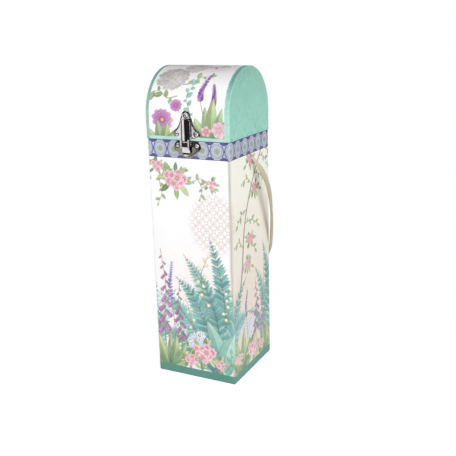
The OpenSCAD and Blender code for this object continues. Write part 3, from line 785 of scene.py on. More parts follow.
def fern_bank(s):
    """Ferns, berries and broad leaves that rise from the right foot, before loose white heads."""
    frosty_head(s, 15, 78, 17, 11)
    frosty_head(s, 40, 54, 15, 12)
    fern_stand(s, 86, -6, [
        [(-4, 60), (-22, 112), (-46, 148)],
        [(6, 60), (2, 120), (-12, 172)],
        [(-24, 44), (-52, 78), (-78, 96)],
        [(14, 52), (30, 96), (52, 118)],
        [(-14, 50), (-34, 96), (-58, 120)],
        [(8, 40), (26, 66), (56, 74)],
        [(-34, 30), (-62, 46), (-90, 50)],
        [(-2, 50), (-10, 90), (-26, 128)],
    ], 21, 16)
    berries(s, [(78, 40), (66, 84), (62, 118), (70, 140)], 9, 2.2, 3)
    berries(s, [(84, 30), (94, 78), (97, 104)], 7, 2.1, 4)
    berries(s, [(70, 20), (50, 52), (42, 84)], 6, 2.0, 5)
    broad_leaf(s, 84, 0, 104, 66, 24, TEAL_D, TEAL_L, -5)
    broad_leaf(s, 82, 0, 128, 54, 22, BLUE_D, BLUE_L, -4)
    broad_leaf(s, 90, 0, 74, 56, 22, TEAL, TEAL_L, 5)


def low_flowers(s):
    """Spires of bells on the left, and a row of leaves and blossoms along the foot."""
    bell_spire(s, [(12, -2), (10, 50), (14, 100), (9, 146)], 15, 12.5, VIOLET, VIOLET_L)
    bell_spire(s, [(32, -2), (33, 40), (30, 74), (33, 108)], 12, 10.5, VIOLET_D, VIOLET_L)
    seed_spike(s, [(22, 0), (24, 50), (20, 100), (24, 132)], 14, 5, rgb("7f72b4"), rgb("c3b9e0"))
    tuft(s, 16, -3, 31, 7, 52, 50, 12)
    frosty_head(s, 56, 34, 14, 15, 36)
    blossom_cluster(s, 62, 22, 14, 54)
    blossom_cluster(s, 44, 11, 9, 55, 6)
    blossom_cluster(s, 84, 11, 8.5, 56, 5)
    sprig(s, [(40, 2), (34, 12), (33, 22)], 9, LEAF_D, LEAF_L, 5)
    sprig(s, [(90, 4), (97, 14), (98, 28)], 9, LEAF_D, LEAF_L, 5)


def broad_wall(s):
    """The design of a broad wall, in mm from its left edge."""
    hanging_twigs(s)
    fern_bank(s)
    low_flowers(s)


def side_wall(s):
    """The design of a side wall, in mm from its front edge: a climber over a low meadow."""
    climber(s, [(2, -4), (10, 60), (24, 118), (34, 176), (56, 222), (84, 258)], [
        (0.4, 26, 8), (0.5, -20, 12), (0.6, 34, -4), (0.7, 30, 14), (0.78, -24, 10), (0.84, 30, -12),
        (0.9, -30, 6), (0.66, -24, -8), (0.94, 24, -10), (0.55, 30, -18),
    ], 3)
    fern_stand(s, 96, -6, [
        [(-6, 50), (-20, 96), (-36, 122)],
        [(2, 56), (-2, 110), (-14, 150)],
        [(-16, 36), (-38, 64), (-58, 74)],
        [(8, 50), (18, 84), (34, 104)],
    ], 22, 15)
    berries(s, [(90, 60), (84, 96), (88, 122)], 7, 2.0, 6)
    frosty_head(s, 46, 44, 16, 13)
    frosty_head(s, 22, 60, 12, 17)
    bell_spire(s, [(62, -2), (60, 40), (64, 74), (59, 104)], 12, 11.5, VIOLET_D, VIOLET_L)
    bell_spire(s, [(80, -2), (82, 28), (79, 56), (83, 80)], 10, 11.5, VIOLET, VIOLET_L)
    seed_spike(s, [(34, 0), (37, 40), (33, 72), (38, 96)], 12, 4.6, rgb("7f72b4"), rgb("c3b9e0"))
    tuft(s, 24, -3, 32, 6, 52, 44, 14)
    tuft(s, 88, -3, 33, 6, 44, 50, 14)
    blossom_cluster(s, 50, 16, 12, 57, 7)
    blossom_cluster(s, 12, 16, 9, 58, 6)
    blossom_cluster(s, 74, 12, 8, 59, 5)


def paint_walls():
    """The print round the four walls, each SIDE long: front, right, back, left."""
    s = Sheet(ROUND, BAND_Z - PLINTH_Z, 0.5, "fcfcfd", 3, around=True)
    grounds(s)
    for wall in (0, 2 * SIDE):
        s.origin = wall
        blot(s, 60, 95, 60, 90, rgb("f6e2e4"), 0.4)
        blot(s, 160, 60, 60, 90, rgb("f3dccf"), 0.45)
        faded_scrolls(s, 40, 8, 7, 5, 0.34)
        trellis(s, 80, 182, 34, 42, 18.0, TAUPE, 0.85)
        s.origin = wall + SIDE
        side_wall(s)
    for wall in (0, 2 * SIDE):
        s.origin = wall
        broad_wall(s)
    return s


def lid_bouquet(s):
    """The design of one half of the lid, from its foot up."""
    violet = rgb("7a3f92"), rgb("c49ad0")
    blot(s, 66, 88, 34, 16, rgb("dcb4d4"), 0.6)
    blot(s, 20, 62, 26, 26, rgb("eee6cf"), 0.6)
    sprig(s, [(34, 44), (22, 42), (10, 50), (-2, 47)], 13, LEAF_D, LEAF_L, 6, 0.5)
    sprig(s, [(38, 58), (48, 60), (56, 68), (66, 70)], 11, LEAF, LEAF_L, 6, 0.5)
    sprig(s, [(52, 84), (62, 90), (74, 90), (84, 96)], 10, LEAF_D, LEAF_L, 6)
    cluster(s, 22, 68, 18, [rgb("f1ebf2"), rgb("faf7fb"), rgb("e4e2cf"), rgb("e9dcea")], 41, 3.2)
    cluster(s, 43, 88, 12, [rgb("efe6f1"), rgb("f8f4fa"), rgb("dfddc9")], 42, 3.0)
    sprig(s, [(49, 2), (52, 24), (46, 44), (54, 62)], 9, TEAL, TEAL_L, 5.0, 0.6, "7fa89c")
    seed_spike(s, [(66, -2), (68, 22), (63, 48), (70, 76)], 17, 5.4, *violet)
    seed_spike(s, [(76, -2), (75, 20), (80, 40), (76, 60)], 13, 5, *violet)
    tuft(s, 77, -4, 43, 5, 48, 40, 14)
    for k, (x, y, r) in enumerate([(17, 18, 14), (34, 34, 8)]):
        ray_bloom(s, x, y, r, VIOLET_D, VIOLET_L, VIOLET, rgb("e6c65c"), 9 * k)
    tuft(s, 16, -8, 47, 4, 30, 60, 11)
    double_bloom(s, 87, 9, 9, PINK_D * 0.4 + PINK * 0.6, PINK_L, PINK, 30)
    blossom(s, 71, 7, 6, PINK_D, PINK_L, PINK, 10)


def paint_lid():
    """The print over the lid, from the front's foot over the arch to the back's foot."""
    s = Sheet(2 * PRINT_HALF, LID_ROUND, 0.46, "fdfdfd", 17)
    y = np.linspace(0, 1, s.shape[0])[:, None, None]
    s.rgb[:] = s.rgb + (rgb("f1ebee") - s.rgb) * np.clip(1 - np.abs(y - 0.5) * 4.2, 0, 1) * 0.8
    for _ in range(2):  # the back half repeats the design the other way up
        s.rgb[:] = s.rgb[::-1, ::-1].copy()
        lid_bouquet(s)
    strip_x = 93.1  # from here the end paper's colour shows, with a slightly uneven edge
    for where, x, y in s.windows(strip_x - 1, 0, 2 * PRINT_HALF, LID_ROUND):
        turn = np.clip((y - LEG) / LID_HALF, 0, math.pi)
        # painted shade: the strip turns a deeper teal over the top of the arch
        arch_shade = np.clip((np.sin(turn) - 0.3) * 2.2, 0, 1)[..., None]
        tone = rgb("b2ddd1") + (rgb("75b4ac") - rgb("b2ddd1")) * arch_shade
        s.lay(where, tone, s.edge(x - strip_x - 0.25 * np.sin(y / 1.7) - 0.2 * np.sin(y / 0.6)))
    return s


BAND_COUNT = 23  # ornaments round the border
BAND_PITCH = ROUND / BAND_COUNT
BAND_START = 104.5  # where one of the ornaments stands
BAND_FOLD = 7  # mm of the border's sheet beyond the rim
NAVY, DUSK, PALE = rgb("42437f"), rgb("8488ae"), rgb("d6dae6")


def band_ground(s):
    """Thin hourglass lines between the ornaments, and lace along both edges. The rim's fold is plain."""
    middle = BAND_H / 2
    s.rgb += (s.wash[..., None] - 0.5) * 0.1
    for where, x, y in s.windows(0, 0, ROUND, BAND_H + BAND_FOLD):
        away = np.abs(np.mod((x - BAND_START) / BAND_PITCH, 1) - 0.5) * BAND_PITCH
        tall = np.abs(y - middle)
        line = s.edge(0.5 - np.abs(away - 0.75 - 0.05 * tall**2)) * (tall < 6.2)
        s.lay(where, NAVY, np.maximum(line, s.edge(1.3 - away - tall)) * 0.95)
        lobe = np.abs(np.sin(away * math.pi / 3.1))
        lace = 0.6 + 3.4 * np.sqrt(np.clip(1 - (away / 5.2) ** 2, 0, 1)) * (0.74 + 0.26 * lobe)
        for depth in (y, BAND_H - y):
            s.lay(where, NAVY, s.edge(lace - depth) * (depth > -0.01) * 0.95)
            s.lay(where, PALE, s.edge(0.22 - np.abs(depth - lace - 0.35)) * 0.7)
            dots = np.hypot(np.mod(away + 0.8, 1.6) - 0.8, depth - 1.5)
            s.lay(where, DUSK, s.edge(0.42 - dots) * (away < 4.2))
        s.lay(where, rgb("9a9fc4"), (y > BAND_H) * np.ones_like(x))


def band_ornament(s, x, y):
    """A round ornament of narrow petals about a small sage flower."""
    s.disc(x, y, 8.0, DUSK, 0.9)
    s.disc(x, y, 7.6, rgb("c0c6cb"))
    for k in range(24):
        s.petal(*off(x, y, 3.4, 15 * k), 15 * k, 4.0, 1.0, PALE, rgb("9ca7b8"), None, 0.9, 0.5)
        s.disc(*off(x, y, 7.0, 15 * k + 7.45), 0.34, DUSK, 0.8)
    s.ring(x, y, 5.6, 0.45, rgb("8f9ab8"), 0.7)
    s.disc(x, y, 3.9, rgb("8a979b"), 0.8)
    s.disc(x, y, 3.5, rgb("9dab9f"))
    for k in range(12):
        s.petal(x, y, 30 * k, 3.3, 1.5, rgb("85968a"), rgb("c3cfbe"), rgb("6f8078"), 0.9, 0.6, 1.3, rim_w=0.2)
    s.disc(x, y, 1.2, rgb("67785f"))
    s.disc(x, y, 0.7, rgb("cfd4ac"))


def paint_band():
    """The patterned border round the box."""
    s = Sheet(ROUND, BAND_H + BAND_FOLD, 0.3, "c0c1d4", 23, around=True)
    band_ground(s)
    for k in range(BAND_COUNT):
        band_ornament(s, (BAND_START + k * BAND_PITCH) % ROUND, BAND_H / 2)
    return s


def mint_ornament(s, x, y):
    """A scrolled leaf ornament, tone on tone, with a painted highlight beside each dark scroll."""
    dark, light = rgb("84c6b3"), rgb("b6e5d6")
    curls = (
        ([(0, -15), (6, -12), (10, -5), (8, 2), (3.6, 1), (3.2, -3), (5.6, -4)], 1.5),
        ([(0, -3), (4, 4), (8, 9), (6.4, 14), (2.6, 13), (2.4, 9.6), (4.4, 9)], 1.3),
        ([(10, -5), (13, -1), (12, 4), (9.6, 4)], 1.0),
    )
    for side in (-1, 1):
        for points, wide in curls:
            line = scroll(points, x, y, side)
            # painted highlight: a pale copy of each scroll, set a little down and to the right of the dark
            # one, gives the look of a raised, embossed edge
            s.stroke(line + [0.35, -0.35], wide, 0.5, light, 0.5)
            s.stroke(line, wide, 0.5, dark, 0.62)
        for a, b, angle, size in ((4, -9, 35, 6), (9, 4, 80, 5), (3, 5, 70, 6), (7, -10, -15, 5)):
            turn = angle if side > 0 else 180 - angle
            s.petal(x + side * a, y + b, turn, size, size * 0.4, dark, dark * 1.06, None, 0.5)
    s.petal(x, y - 4, 90, 11, 4.4, dark, light, dark, 0.5, 0.7, 0.8)
    s.petal(x, y + 13, 90, 6, 2.6, dark, dark, None, 0.5)


def paint_mint():
    """The paper on the lid's ends, darker towards the top."""
    s = Sheet(2 * LID_HALF, ARCH_Z - LID_Z + LID_HALF, 0.45, "a1d9c8", 29)
    grain = smooth_noise(s.shape, 2.2 / s.step, 30)
    s.rgb += (s.wash[..., None] - 0.5) * 0.035 + (grain[..., None] - 0.5) * 0.02
    s.rgb *= 1 - 0.15 * np.linspace(0, 1, s.shape[0])[:, None, None] ** 2
    for row in range(-1, 4):
        for col in range(-1, 5):
            mint_ornament(s, LID_HALF + (col - 1.5 + 0.5 * (row % 2)) * 27, 10 + row * 22.5)
    return s


# ---------------------------------------------------------------- papers as meshes

CORNER_R = 0.9  # the papers turn round the box's edges on this radius
SHEET_T = 0.35  # thickness of the printed sheets
PAPER_T = 0.4  # thickness of the bands
ARC_STEPS = 4
SEAM = 0.15  # how far past the rounded edge two walls' sheets meet
STRAP_HOLE_R = 2.25


def sample(sheet, x, y):
    """The sheet's colours at mm x, y, as scene linear."""
    rows, cols = sheet.shape
    i = np.clip(x / sheet.step, 0, cols - 1.001)
    j = np.clip(y / sheet.step, 0, rows - 1.001)
    i0, j0 = i.astype(int), j.astype(int)
    u, v = (i - i0)[..., None], (j - j0)[..., None]
    low, high = (sheet.rgb[k, i0] * (1 - u) + sheet.rgb[k, i0 + 1] * u for k in (j0, j0 + 1))
    return linear(np.clip(low * (1 - v) + high * v, 0, 1))


def grid_faces(rows, cols, wrap_rows=False, wrap_cols=False):
    """Quads of a grid of points, counted row by row, and closed round the grid where asked."""
    j = np.arange(rows if wrap_rows else rows - 1)[:, None]
    i = np.arange(cols if wrap_cols else cols - 1)[None, :]
    next_j, next_i = (j + 1) % rows, (i + 1) % cols
    corners = [j * cols + i, next_j * cols + i, next_j * cols + next_i, j * cols + next_i]
    return np.stack(corners, -1).reshape(-1, 4)


def flipped(quads):
    """The same quads, turned the other way."""
    return quads[:, [0, 3, 2, 1]]


def build(name, points, faces, colours, material, body, replaced=(), angle=35):
    """A piece from mm points and faces, with its print as a colour attribute."""
    mesh = bpy.data.meshes.new(name)
    mesh.from_pydata((np.asarray(points) * MM).tolist(), [], faces)
    mesh.polygons.foreach_set("use_smooth", [True] * len(mesh.polygons))
    mesh.set_sharp_from_angle(angle=math.radians(angle))
    if colours is not None:
        layer = mesh.color_attributes.new("print", "FLOAT_COLOR", "POINT")
        full = np.ones((len(points), 4), np.float32)
        full[:, :3] = colours
        layer.data.foreach_set("color", full.ravel())
    mesh.materials.append(material)
    made = placed(name, mesh)
    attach(made, body)
    if replaced:
        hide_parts(*replaced)
    return made


def border_loops(faces):
    """The open edges of some quads, as loops of points in the quads' own direction."""
    a = np.concatenate([faces[:, k] for k in range(4)]).astype(np.int64)
    b = np.concatenate([faces[:, (k + 1) % 4] for k in range(4)]).astype(np.int64)
    big = int(faces.max()) + 1
    single = ~np.isin(a * big + b, b * big + a)
    follow = dict(zip(a[single].tolist(), b[single].tolist()))
    loops = []
    while follow:
        first, at = follow.popitem()
        loop = [first]
        while at != first:
            loop.append(at)
            at = follow.pop(at)
        loops.append(loop)
    return sorted(loops, key=len, reverse=True)


def cut_hole(flat, faces, hole):
    """Takes a round hole (u, v, radius) out of a grid, and draws the points round it onto its edge."""
    middle, r = np.array(hole[:2]), hole[2]
    away = np.hypot(*(flat - middle).T)
    faces = faces[~(away < r - 0.2)[faces].any(1)]
    pull = np.where(away < r + 0.35, r / np.maximum(away, 0.1), 1.0)
    return middle + (flat - middle) * pull[:, None], faces


def signed_area(loop):
    """The area inside a flat loop, above zero if it turns anticlockwise."""
    after = np.roll(loop, -1, 0)
    return np.sum(loop[:, 0] * after[:, 1] - after[:, 0] * loop[:, 1]) / 2


def turned(loop, faces, way):
    """Triangles of a flat set of points, all turned anticlockwise, or clockwise where way is below zero."""
    return [(a, b, c) if signed_area(loop[[a, b, c]]) * way > 0 else (a, c, b) for a, b, c in faces]


def filled(loops, way):
    """Triangles that fill flat loops of points, counted through all the loops, and turned as way says."""
    faces = tessellate_polygon([[Vector((*p, 0)) for p in loop] for loop in loops])
    return turned(np.vstack(loops), faces, way)


def paper(name, us, vs, place, paint, material, body, replaced=(), hole=None):
    """A sheet with a little thickness. place(u, v, depth) gives points, and paint(u, v) colours."""
    flat = np.stack(np.meshgrid(us, vs, indexing="ij"), -1).reshape(-1, 2)
    faces = grid_faces(len(us), len(vs))
    if hole:
        flat, faces = cut_hole(flat, faces, hole)
    used, back_to = np.unique(faces, return_inverse=True)
    faces, flat = back_to.reshape(faces.shape), flat[used]
    front = place(*flat.T, 0.0)
    a, b, c = front[faces[0][:3]]
    inwards = place(*flat[faces[0][:1]].T, 1.0)[0] - a
    if np.cross(b - a, c - b) @ inwards > 0:
        faces = faces[:, ::-1]
    loops = border_loops(faces)
    rim = [v for loop in loops for v in loop]
    copy = {v: len(front) + k for k, v in enumerate(rim)}
    polys = faces.tolist()
    polys += [(q, p, copy[p], copy[q]) for loop in loops for p, q in zip(loop, loop[1:] + loop[:1])]
    back = filled([flat[loop] for loop in loops], -signed_area(flat[faces[0][:3]]))
    polys += [tuple(len(front) + v for v in face) for face in back]
    points = np.vstack([front, place(*flat[rim].T, SHEET_T)])
    build(name, points, polys, paint(*np.vstack([flat, flat[rim]]).T), material, body, replaced)


def square_path(u, inset=0.0):
    """Points at distance u round the box, from the front's left edge, drawn in by inset."""
    r = CORNER_R
    u = np.asarray(u, float) % ROUND
    k = ((u + r) // SIDE).astype(int) % 4
    a = (u + r) % SIDE - r
    arc = a < r
    turn = np.where(arc, (a + r) / (2 * r) * np.pi / 2 - np.pi / 2, 0.0)
    reach = HALF - max(inset, r)
    sideways = np.where(arc, -reach, np.clip(a - HALF, -reach, reach))
    out = np.where(arc, reach, HALF - inset)
    bulge = np.where(arc, max(r - inset, 0.0), 0.0)
    x = sideways + bulge * np.sin(turn)
    y = -out - bulge * np.cos(turn)
    c, s = np.array([1, 0, -1, 0])[k], np.array([0, 1, 0, -1])[k]
    return np.stack([x * c - y * s, x * s + y * c], -1)


def wall_sheet(name, wall, sheet, hole=None, replaced=()):
    """One wall's print, with the rounded edge at its far end."""
    r, step = CORNER_R, 0.56
    us = wall * SIDE + np.concatenate([
        np.linspace(r + SEAM, SIDE - r, round((SIDE - 2 * r) / step)),
        SIDE - r + np.linspace(0, 2 * r, ARC_STEPS + 1)[1:],
        [SIDE + r + SEAM],
    ])
    vs = np.linspace(PLINTH_Z, BAND_Z, round((BAND_Z - PLINTH_Z) / step) + 1)

    def place(u, v, depth):
        return np.column_stack([square_path(u, depth), v])

    def paint(u, v):
        return sample(sheet, u % ROUND, v - PLINTH_Z)

    paper(name, us, vs, place, paint, PRINT, "box", replaced, hole)


def arch_place(u, v, depth):
    """Points of the lid's outer face: u across and v along the sheet from the front's foot."""
    half = LID_HALF - depth
    turn = np.clip((v - LEG) / LID_HALF, 0, math.pi)
    behind = np.where(v > LID_ROUND - LEG, PRINT_Z + LID_ROUND - v, ARCH_Z + half * np.sin(turn))
    return np.column_stack([u - PRINT_HALF, -half * np.cos(turn), np.where(v < LEG, PRINT_Z + v, behind)])


def round_us(step):
    """Places round the box, close on the bends."""
    flat = np.linspace(CORNER_R, SIDE - CORNER_R, max(2, round((SIDE - 2 * CORNER_R) / step)))
    bend = SIDE - CORNER_R + np.linspace(0, 2 * CORNER_R, ARC_STEPS + 1)[1:-1]
    return np.concatenate([k * SIDE + np.concatenate([flat, bend]) for k in range(4)])


def ring_band(name, profile, step, sheet, material, node):
    """A closed band round the box. profile lists (inset, z), and the height on its sheet if it has one."""
    us = round_us(step)
    points = np.stack([np.column_stack([square_path(us, p[0]), np.full(len(us), p[1])]) for p in profile], 1)
    rows, cols = points.shape[:2]
    colours = None
    if sheet:
        colours = sample(sheet, np.repeat(us, cols), np.tile([p[2] for p in profile], rows))
    faces = grid_faces(rows, cols, True, True).tolist()
    build(name, points.reshape(-1, 3), faces, colours, material, "box", [node], 42)


def border_band(sheet):
    """The border's paper, from its foot over the rim, whose edge is rounded, and back down inside."""
    r, inner = 0.5, 5.7
    profile = [(0.0, z, z - BAND_Z) for z in np.linspace(BAND_Z, RIM_Z - r, 58)]
    for a in np.linspace(0, math.pi / 2, 4)[1:]:
        z = RIM_Z + (-r + r * math.sin(a))
        profile.append((r - r * math.cos(a), z, z - BAND_Z))
    profile += [(inset, RIM_Z, BAND_H + inset - r) for inset in (1.2, 2.4, 3.6, 4.8, 5.5)]
    profile += [(inner, RIM_Z - 0.2, BAND_H + 6), (inner, RIM_Z - PAPER_T, BAND_H + 6)]
    profile += [(PAPER_T, RIM_Z - PAPER_T, BAND_H + 6), (PAPER_T, BAND_Z, 0.2)]
    material = printed_paper("border_paper", 0.46)
    ring_band("border_band", profile, 0.36, sheet, material, "border_paper")


def plinth_band():
    """The plain paper round the foot, turned in a little at the floor."""
    profile = [(0.0, z) for z in (0.9, 4.0, 7.0, PLINTH_Z)]
    profile += [(PAPER_T, PLINTH_Z), (PAPER_T, 0.3), (0.5, 0.3), (0.15, 0.45)]
    ring_band("plinth_band", profile, 6.0, None, PLINTH, "plinth_paper")


def strip_tone(points, across, front_tone):
    """The tone of the strip over the arch: its own on the front and back, and a darker, greener painted shade
    over the top of the arch.
    """
    up = np.clip((points[..., 2] - ARCH_Z) / LID_HALF, 0, 1)
    arch_shade = np.clip((up - 0.3) * 2.2, 0, 1)[..., None]
    on_strip = np.clip((LID_HALF - 0.35 - across) / 0.7, 0, 1)[..., None]
    tone = np.array(front_tone) * (1 - arch_shade) + np.array([0.5, 0.66, 0.72]) * arch_shade
    return (1 + (tone - 1) * on_strip).reshape(-1, 3)


def end_path(step):
    """The outline of the lid's end, as (turn over the arch, z, how far the foot is rounded in)."""
    low = LID_Z + 0.5
    leg = np.linspace(low, ARCH_Z, round((ARCH_Z - low) / step) + 1)
    turns = np.linspace(0, math.pi, round(math.pi * LID_HALF / step) + 1)[1:-1]
    foot = [(LID_Z, 0.42), (LID_Z + 0.06, 0.2), (LID_Z + 0.2, 0.06)]
    path = [(0.0, z, e) for z, e in foot] + [(0.0, z, 0.0) for z in leg]
    path += [(t, ARCH_Z, 0.0) for t in turns]
    return path + [(math.pi, z, 0.0) for z in leg[::-1]] + [(math.pi, z, e) for z, e in foot[::-1]]


def end_rings(step):
    """From the strip's inner edge to the end's middle, as (x, mm in from the outline, turn of the edge)."""
    r = CORNER_R
    rings = [(PRINT_HALF + (LID_HALF - r - PRINT_HALF) * k / 5, 0.0, 0.0) for k in range(6)]
    for p in np.linspace(0, math.pi / 2, 5)[1:]:
        rings.append((LID_HALF - r + r * math.sin(p), r - r * math.cos(p), p))
    middle = np.linspace(r, LID_HALF, round(LID_HALF / step))[1:]
    return rings + [(LID_HALF, d, math.pi / 2) for d in middle]


def joined(flat, quads, side):
    """The first of each set of points at one place, and the quads between these, without empty ones."""
    keys = np.round(flat * 200).astype(np.int64)
    _, first, where = np.unique(keys, axis=0, return_index=True, return_inverse=True)
    faces = []
    for quad in where.ravel()[quads]:
        kept = [v for k, v in enumerate(quad.tolist()) if v != quad[k - 1]]
        if len(set(kept)) > 2:
            faces.append(kept if side < 0 else kept[::-1])
    return first, faces


def side_name(side):
    return "right" if side > 0 else "left"


def lid_end(side, sheet, front_tone):
    """The paper on one end of the lid, with the strip that it lays over the arch."""
    step = 0.62
    t, z, e = (column[:, None] for column in np.array(end_path(step)).T)
    x, d, p = (row[None, :] for row in np.array(end_rings(step)).T)
    out = LID_HALF - d - e * np.cos(p)
    points = np.stack([side * (x - e * np.sin(p)), -np.cos(t) * out, z + np.sin(t) * out + 0 * x], -1)
    flat = points.reshape(-1, 3)
    print_colour = sample(sheet, flat[:, 1] * side + LID_HALF, flat[:, 2] - LID_Z)
    colour = print_colour * strip_tone(points, x + 0 * z, front_tone)
    first, faces = joined(flat, grid_faces(*points.shape[:2]), side)
    where = side_name(side)
    build(f"lid_end_{where}", flat[first], faces, colour[first], MINT, "lid",
          [f"lid_{where}_paper"], 42)


PRINT = printed_paper("print_paper", 0.42)
walls = paint_walls()
wall_sheet("print_front", 0, walls, replaced=["wall_paper"])
wall_sheet("print_right", 1, walls, (SIDE + HALF + STRAP_Y, STRAP_Z, STRAP_HOLE_R))
wall_sheet("print_back", 2, walls)
wall_sheet("print_left", 3, walls, (3 * SIDE + HALF - STRAP_Y, STRAP_Z, STRAP_HOLE_R))
border_band(paint_band())
plinth_band()

lid_print = paint_lid()
lid_us, lid_vs = np.linspace(0, 2 * PRINT_HALF, 200), np.linspace(0, LID_ROUND, 431)
paper("print_lid", lid_us, lid_vs, arch_place, lambda u, v: sample(lid_print, u, v), PRINT,
      "lid", ["lid_print_paper"])
MINT = printed_paper("mint_pattern", 0.46)
mint = paint_mint()
lid_end(1, mint, (1.24, 1.04, 1.09))
lid_end(-1, mint, (1.0, 0.78, 0.83))


# ---------------------------------------------------------------- the strap and its knots

STRAP_W = 9.0
STRAP_T = 1.1
STRAP_END_R = 2.1  # half the gathered end's width, a little less than the hole
STRAP_BULGE, STRAP_BULGE_AT = 13.5, 44.0
STRAP_CROSS_AT, STRAP_TURN_IN, STRAP_DROP = 131.0, 7.5, 174.0
STRAP_LEAN = math.asin((HALF + STRAP_W / 2 + 1.8 - STRAP_Y) / STRAP_CROSS_AT)
STRAP_INNER_X = 38.0  # where the tail ends, past the knot
GATHER = 24.0  # mm over which the strap's end is gathered
KNOT_X = 41.6
ALONG_UNIT, ACROSS_UNIT = 100.0, 20.0  # mm that 1 stands for in the ribbon's attribute
RIB_PITCH, YARN_PITCH, CHEVRON = 0.95, 0.42, 3.2


def ribbon_material():
    """Twill tape. The attribute holds the place on it: along, across and nearness to the edge."""
    m = Maker("strap_weave")
    marks = m.node("VertexColor", layer_name="print").outputs["Color"]
    place = m.node("SeparateColor", {"Color": marks}).outputs
    run = m.math("MULTIPLY", place["Red"], ALONG_UNIT)
    across = m.math("MULTIPLY", m.math("SUBTRACT", place["Green"], 0.5), ACROSS_UNIT)
    wave = m.math("ABSOLUTE", m.math("SUBTRACT", m.math("FRACT", m.math("DIVIDE", across, CHEVRON)), 0.5))
    slant = m.math("ADD", run, m.math("MULTIPLY", wave, CHEVRON))
    rib = m.math("SINE", m.math("MULTIPLY", slant, 2 * math.pi / RIB_PITCH))
    yarn = m.math("SINE", m.math("MULTIPLY", across, 2 * math.pi / YARN_PITCH))
    weave = m.math("ADD", m.math("MULTIPLY", rib, 0.6), m.math("MULTIPLY", yarn, 0.4))
    fuzz = m.noise(3200.0, 3.0, 0.7)
    blotch = m.noise(140.0, 4.0, 0.6)
    edge = m.ramp(place["Blue"], 0.72, 0.9)
    colour = m.mix(m.ramp(weave, -1.0, 1.0), hexed("b0aa8e"), hexed("ddd7be"))
    colour = m.mix(m.ramp(blotch, 0.3, 0.7, 0.0, 0.3), colour, hexed("b8b193"))
    colour = m.mix(m.math("MULTIPLY", edge, 0.7), colour, hexed("a0977a"))
    height = m.math("ADD", weave, m.math("MULTIPLY", fuzz, 1.2))
    return m.finish(
        Base_Color=colour, Roughness=m.ramp(fuzz, 0.3, 0.7, 0.78, 0.92), Sheen_Weight=0.25,
        Sheen_Roughness=0.4, Specular_IOR_Level=0.25, Normal=m.bump(height, 0.55, 0.00018),
    )


RIBBON = ribbon_material()


def ribbon_place(run, across, nearness):
    """The attribute that tells ribbon_material where a point lies on the ribbon, from mm along and across."""
    return np.column_stack([run / ALONG_UNIT, 0.5 + across / ACROSS_UNIT, nearness])


def bezier(points, count):
    c = np.array(points, float)
    t = np.linspace(0, 1, count, endpoint=False)[:, None]
    return (1 - t) ** 3 * c[0] + 3 * t * (1 - t) ** 2 * c[1] + 3 * t * t * (1 - t) * c[2] + t**3 * c[3]


def strap_half():
    """Half of the strap's middle line as (x, drop), with the same curves as in part.scad."""
    bulge_x, cross_x, leg = HALF + STRAP_BULGE, HALF - 0.6, STRAP_CROSS_AT - STRAP_BULGE_AT
    between_x = HALF + 0.36 * STRAP_BULGE
    near = [(HALF + 1.2, 0), (between_x, 0.12 * STRAP_BULGE_AT), (bulge_x, 0.48 * STRAP_BULGE_AT),
            (bulge_x, STRAP_BULGE_AT)]
    down = [near[3], (bulge_x, STRAP_BULGE_AT + 0.28 * leg), (between_x, STRAP_BULGE_AT + 0.76 * leg),
            (cross_x, STRAP_CROSS_AT)]
    turn = [down[3], (cross_x - STRAP_TURN_IN, STRAP_CROSS_AT + 0.57 * (STRAP_DROP - STRAP_CROSS_AT)),
            (0.48 * HALF, STRAP_DROP), (0, STRAP_DROP)]
    inside = [(STRAP_INNER_X, 0), (45, 0), (HALF - 0.5, 0)]
    return np.vstack([inside, bezier(near, 40)[5:], bezier(down, 60), bezier(turn, 60), [(0, STRAP_DROP)]])


def even(line, step):
    """The same line with its points about one step apart, and how far along it they lie."""
    run = along(line)
    at = np.linspace(0, run[-1], round(run[-1] / step) + 1)
    return np.column_stack([np.interp(at, run, line[:, k]) for k in range(2)]), at


def ribbon_line():
    """The strap's middle line from tail to tail, its normals, and how far along it the points lie."""
    half = strap_half()
    line, at = even(np.vstack([half, (half * (-1, 1))[::-1][1:]]), 0.7)
    for _ in range(6):
        line[1:-1] = (line[:-2] + 2 * line[1:-1] + line[2:]) / 4
    way = np.gradient(line, axis=0)
    way /= np.hypot(*way.T)[:, None]
    return line, np.column_stack([-way[:, 1], way[:, 0]]), at


def ribbon_section(at):
    """The ribbon's section at each place along it: mm out of the loop, mm across, nearness to its edge."""
    entry = at[-1] / 2 - np.abs(at - at[-1] / 2) - (HALF + 1 - STRAP_INNER_X)  # mm from the hole
    flat = np.clip(entry / GATHER, 0, 1)
    flat = flat * flat * (3 - 2 * flat)
    wide = STRAP_END_R + (STRAP_W / 2 - STRAP_END_R) * flat
    thick = STRAP_END_R + (STRAP_T / 2 - STRAP_END_R) * np.clip(entry / 9, 0, 1) ** 0.45
    roundness = 2 + 10 * flat
    pleat = 0.42 * np.clip(entry / 4, 0, 1) * (1 - flat) ** 0.7
    sway = 0.35 * flat * np.sin(at / 21 + 0.6) + 0.2 * flat * np.sin(at / 8.3)
    side = np.sin(np.linspace(-math.pi / 2, math.pi / 2, 23))
    out, across = [], []
    for q, up in [(q, 1) for q in side] + [(q, -1) for q in side[-2:0:-1]]:
        body = thick * np.maximum(1 - np.abs(q) ** roundness, 0) ** 0.5
        body = body * (1 + 0.16 * flat * (abs(q) > 0.8) * (abs(q) < 0.97))
        out.append(up * body + pleat * math.cos(7.5 * q) + sway * q + 0.22 * flat * (1 - q * q))
        across.append(q * wide)
    return np.stack(out, 1), np.stack(across, 1), np.abs(np.concatenate([side, side[-2:0:-1]]))


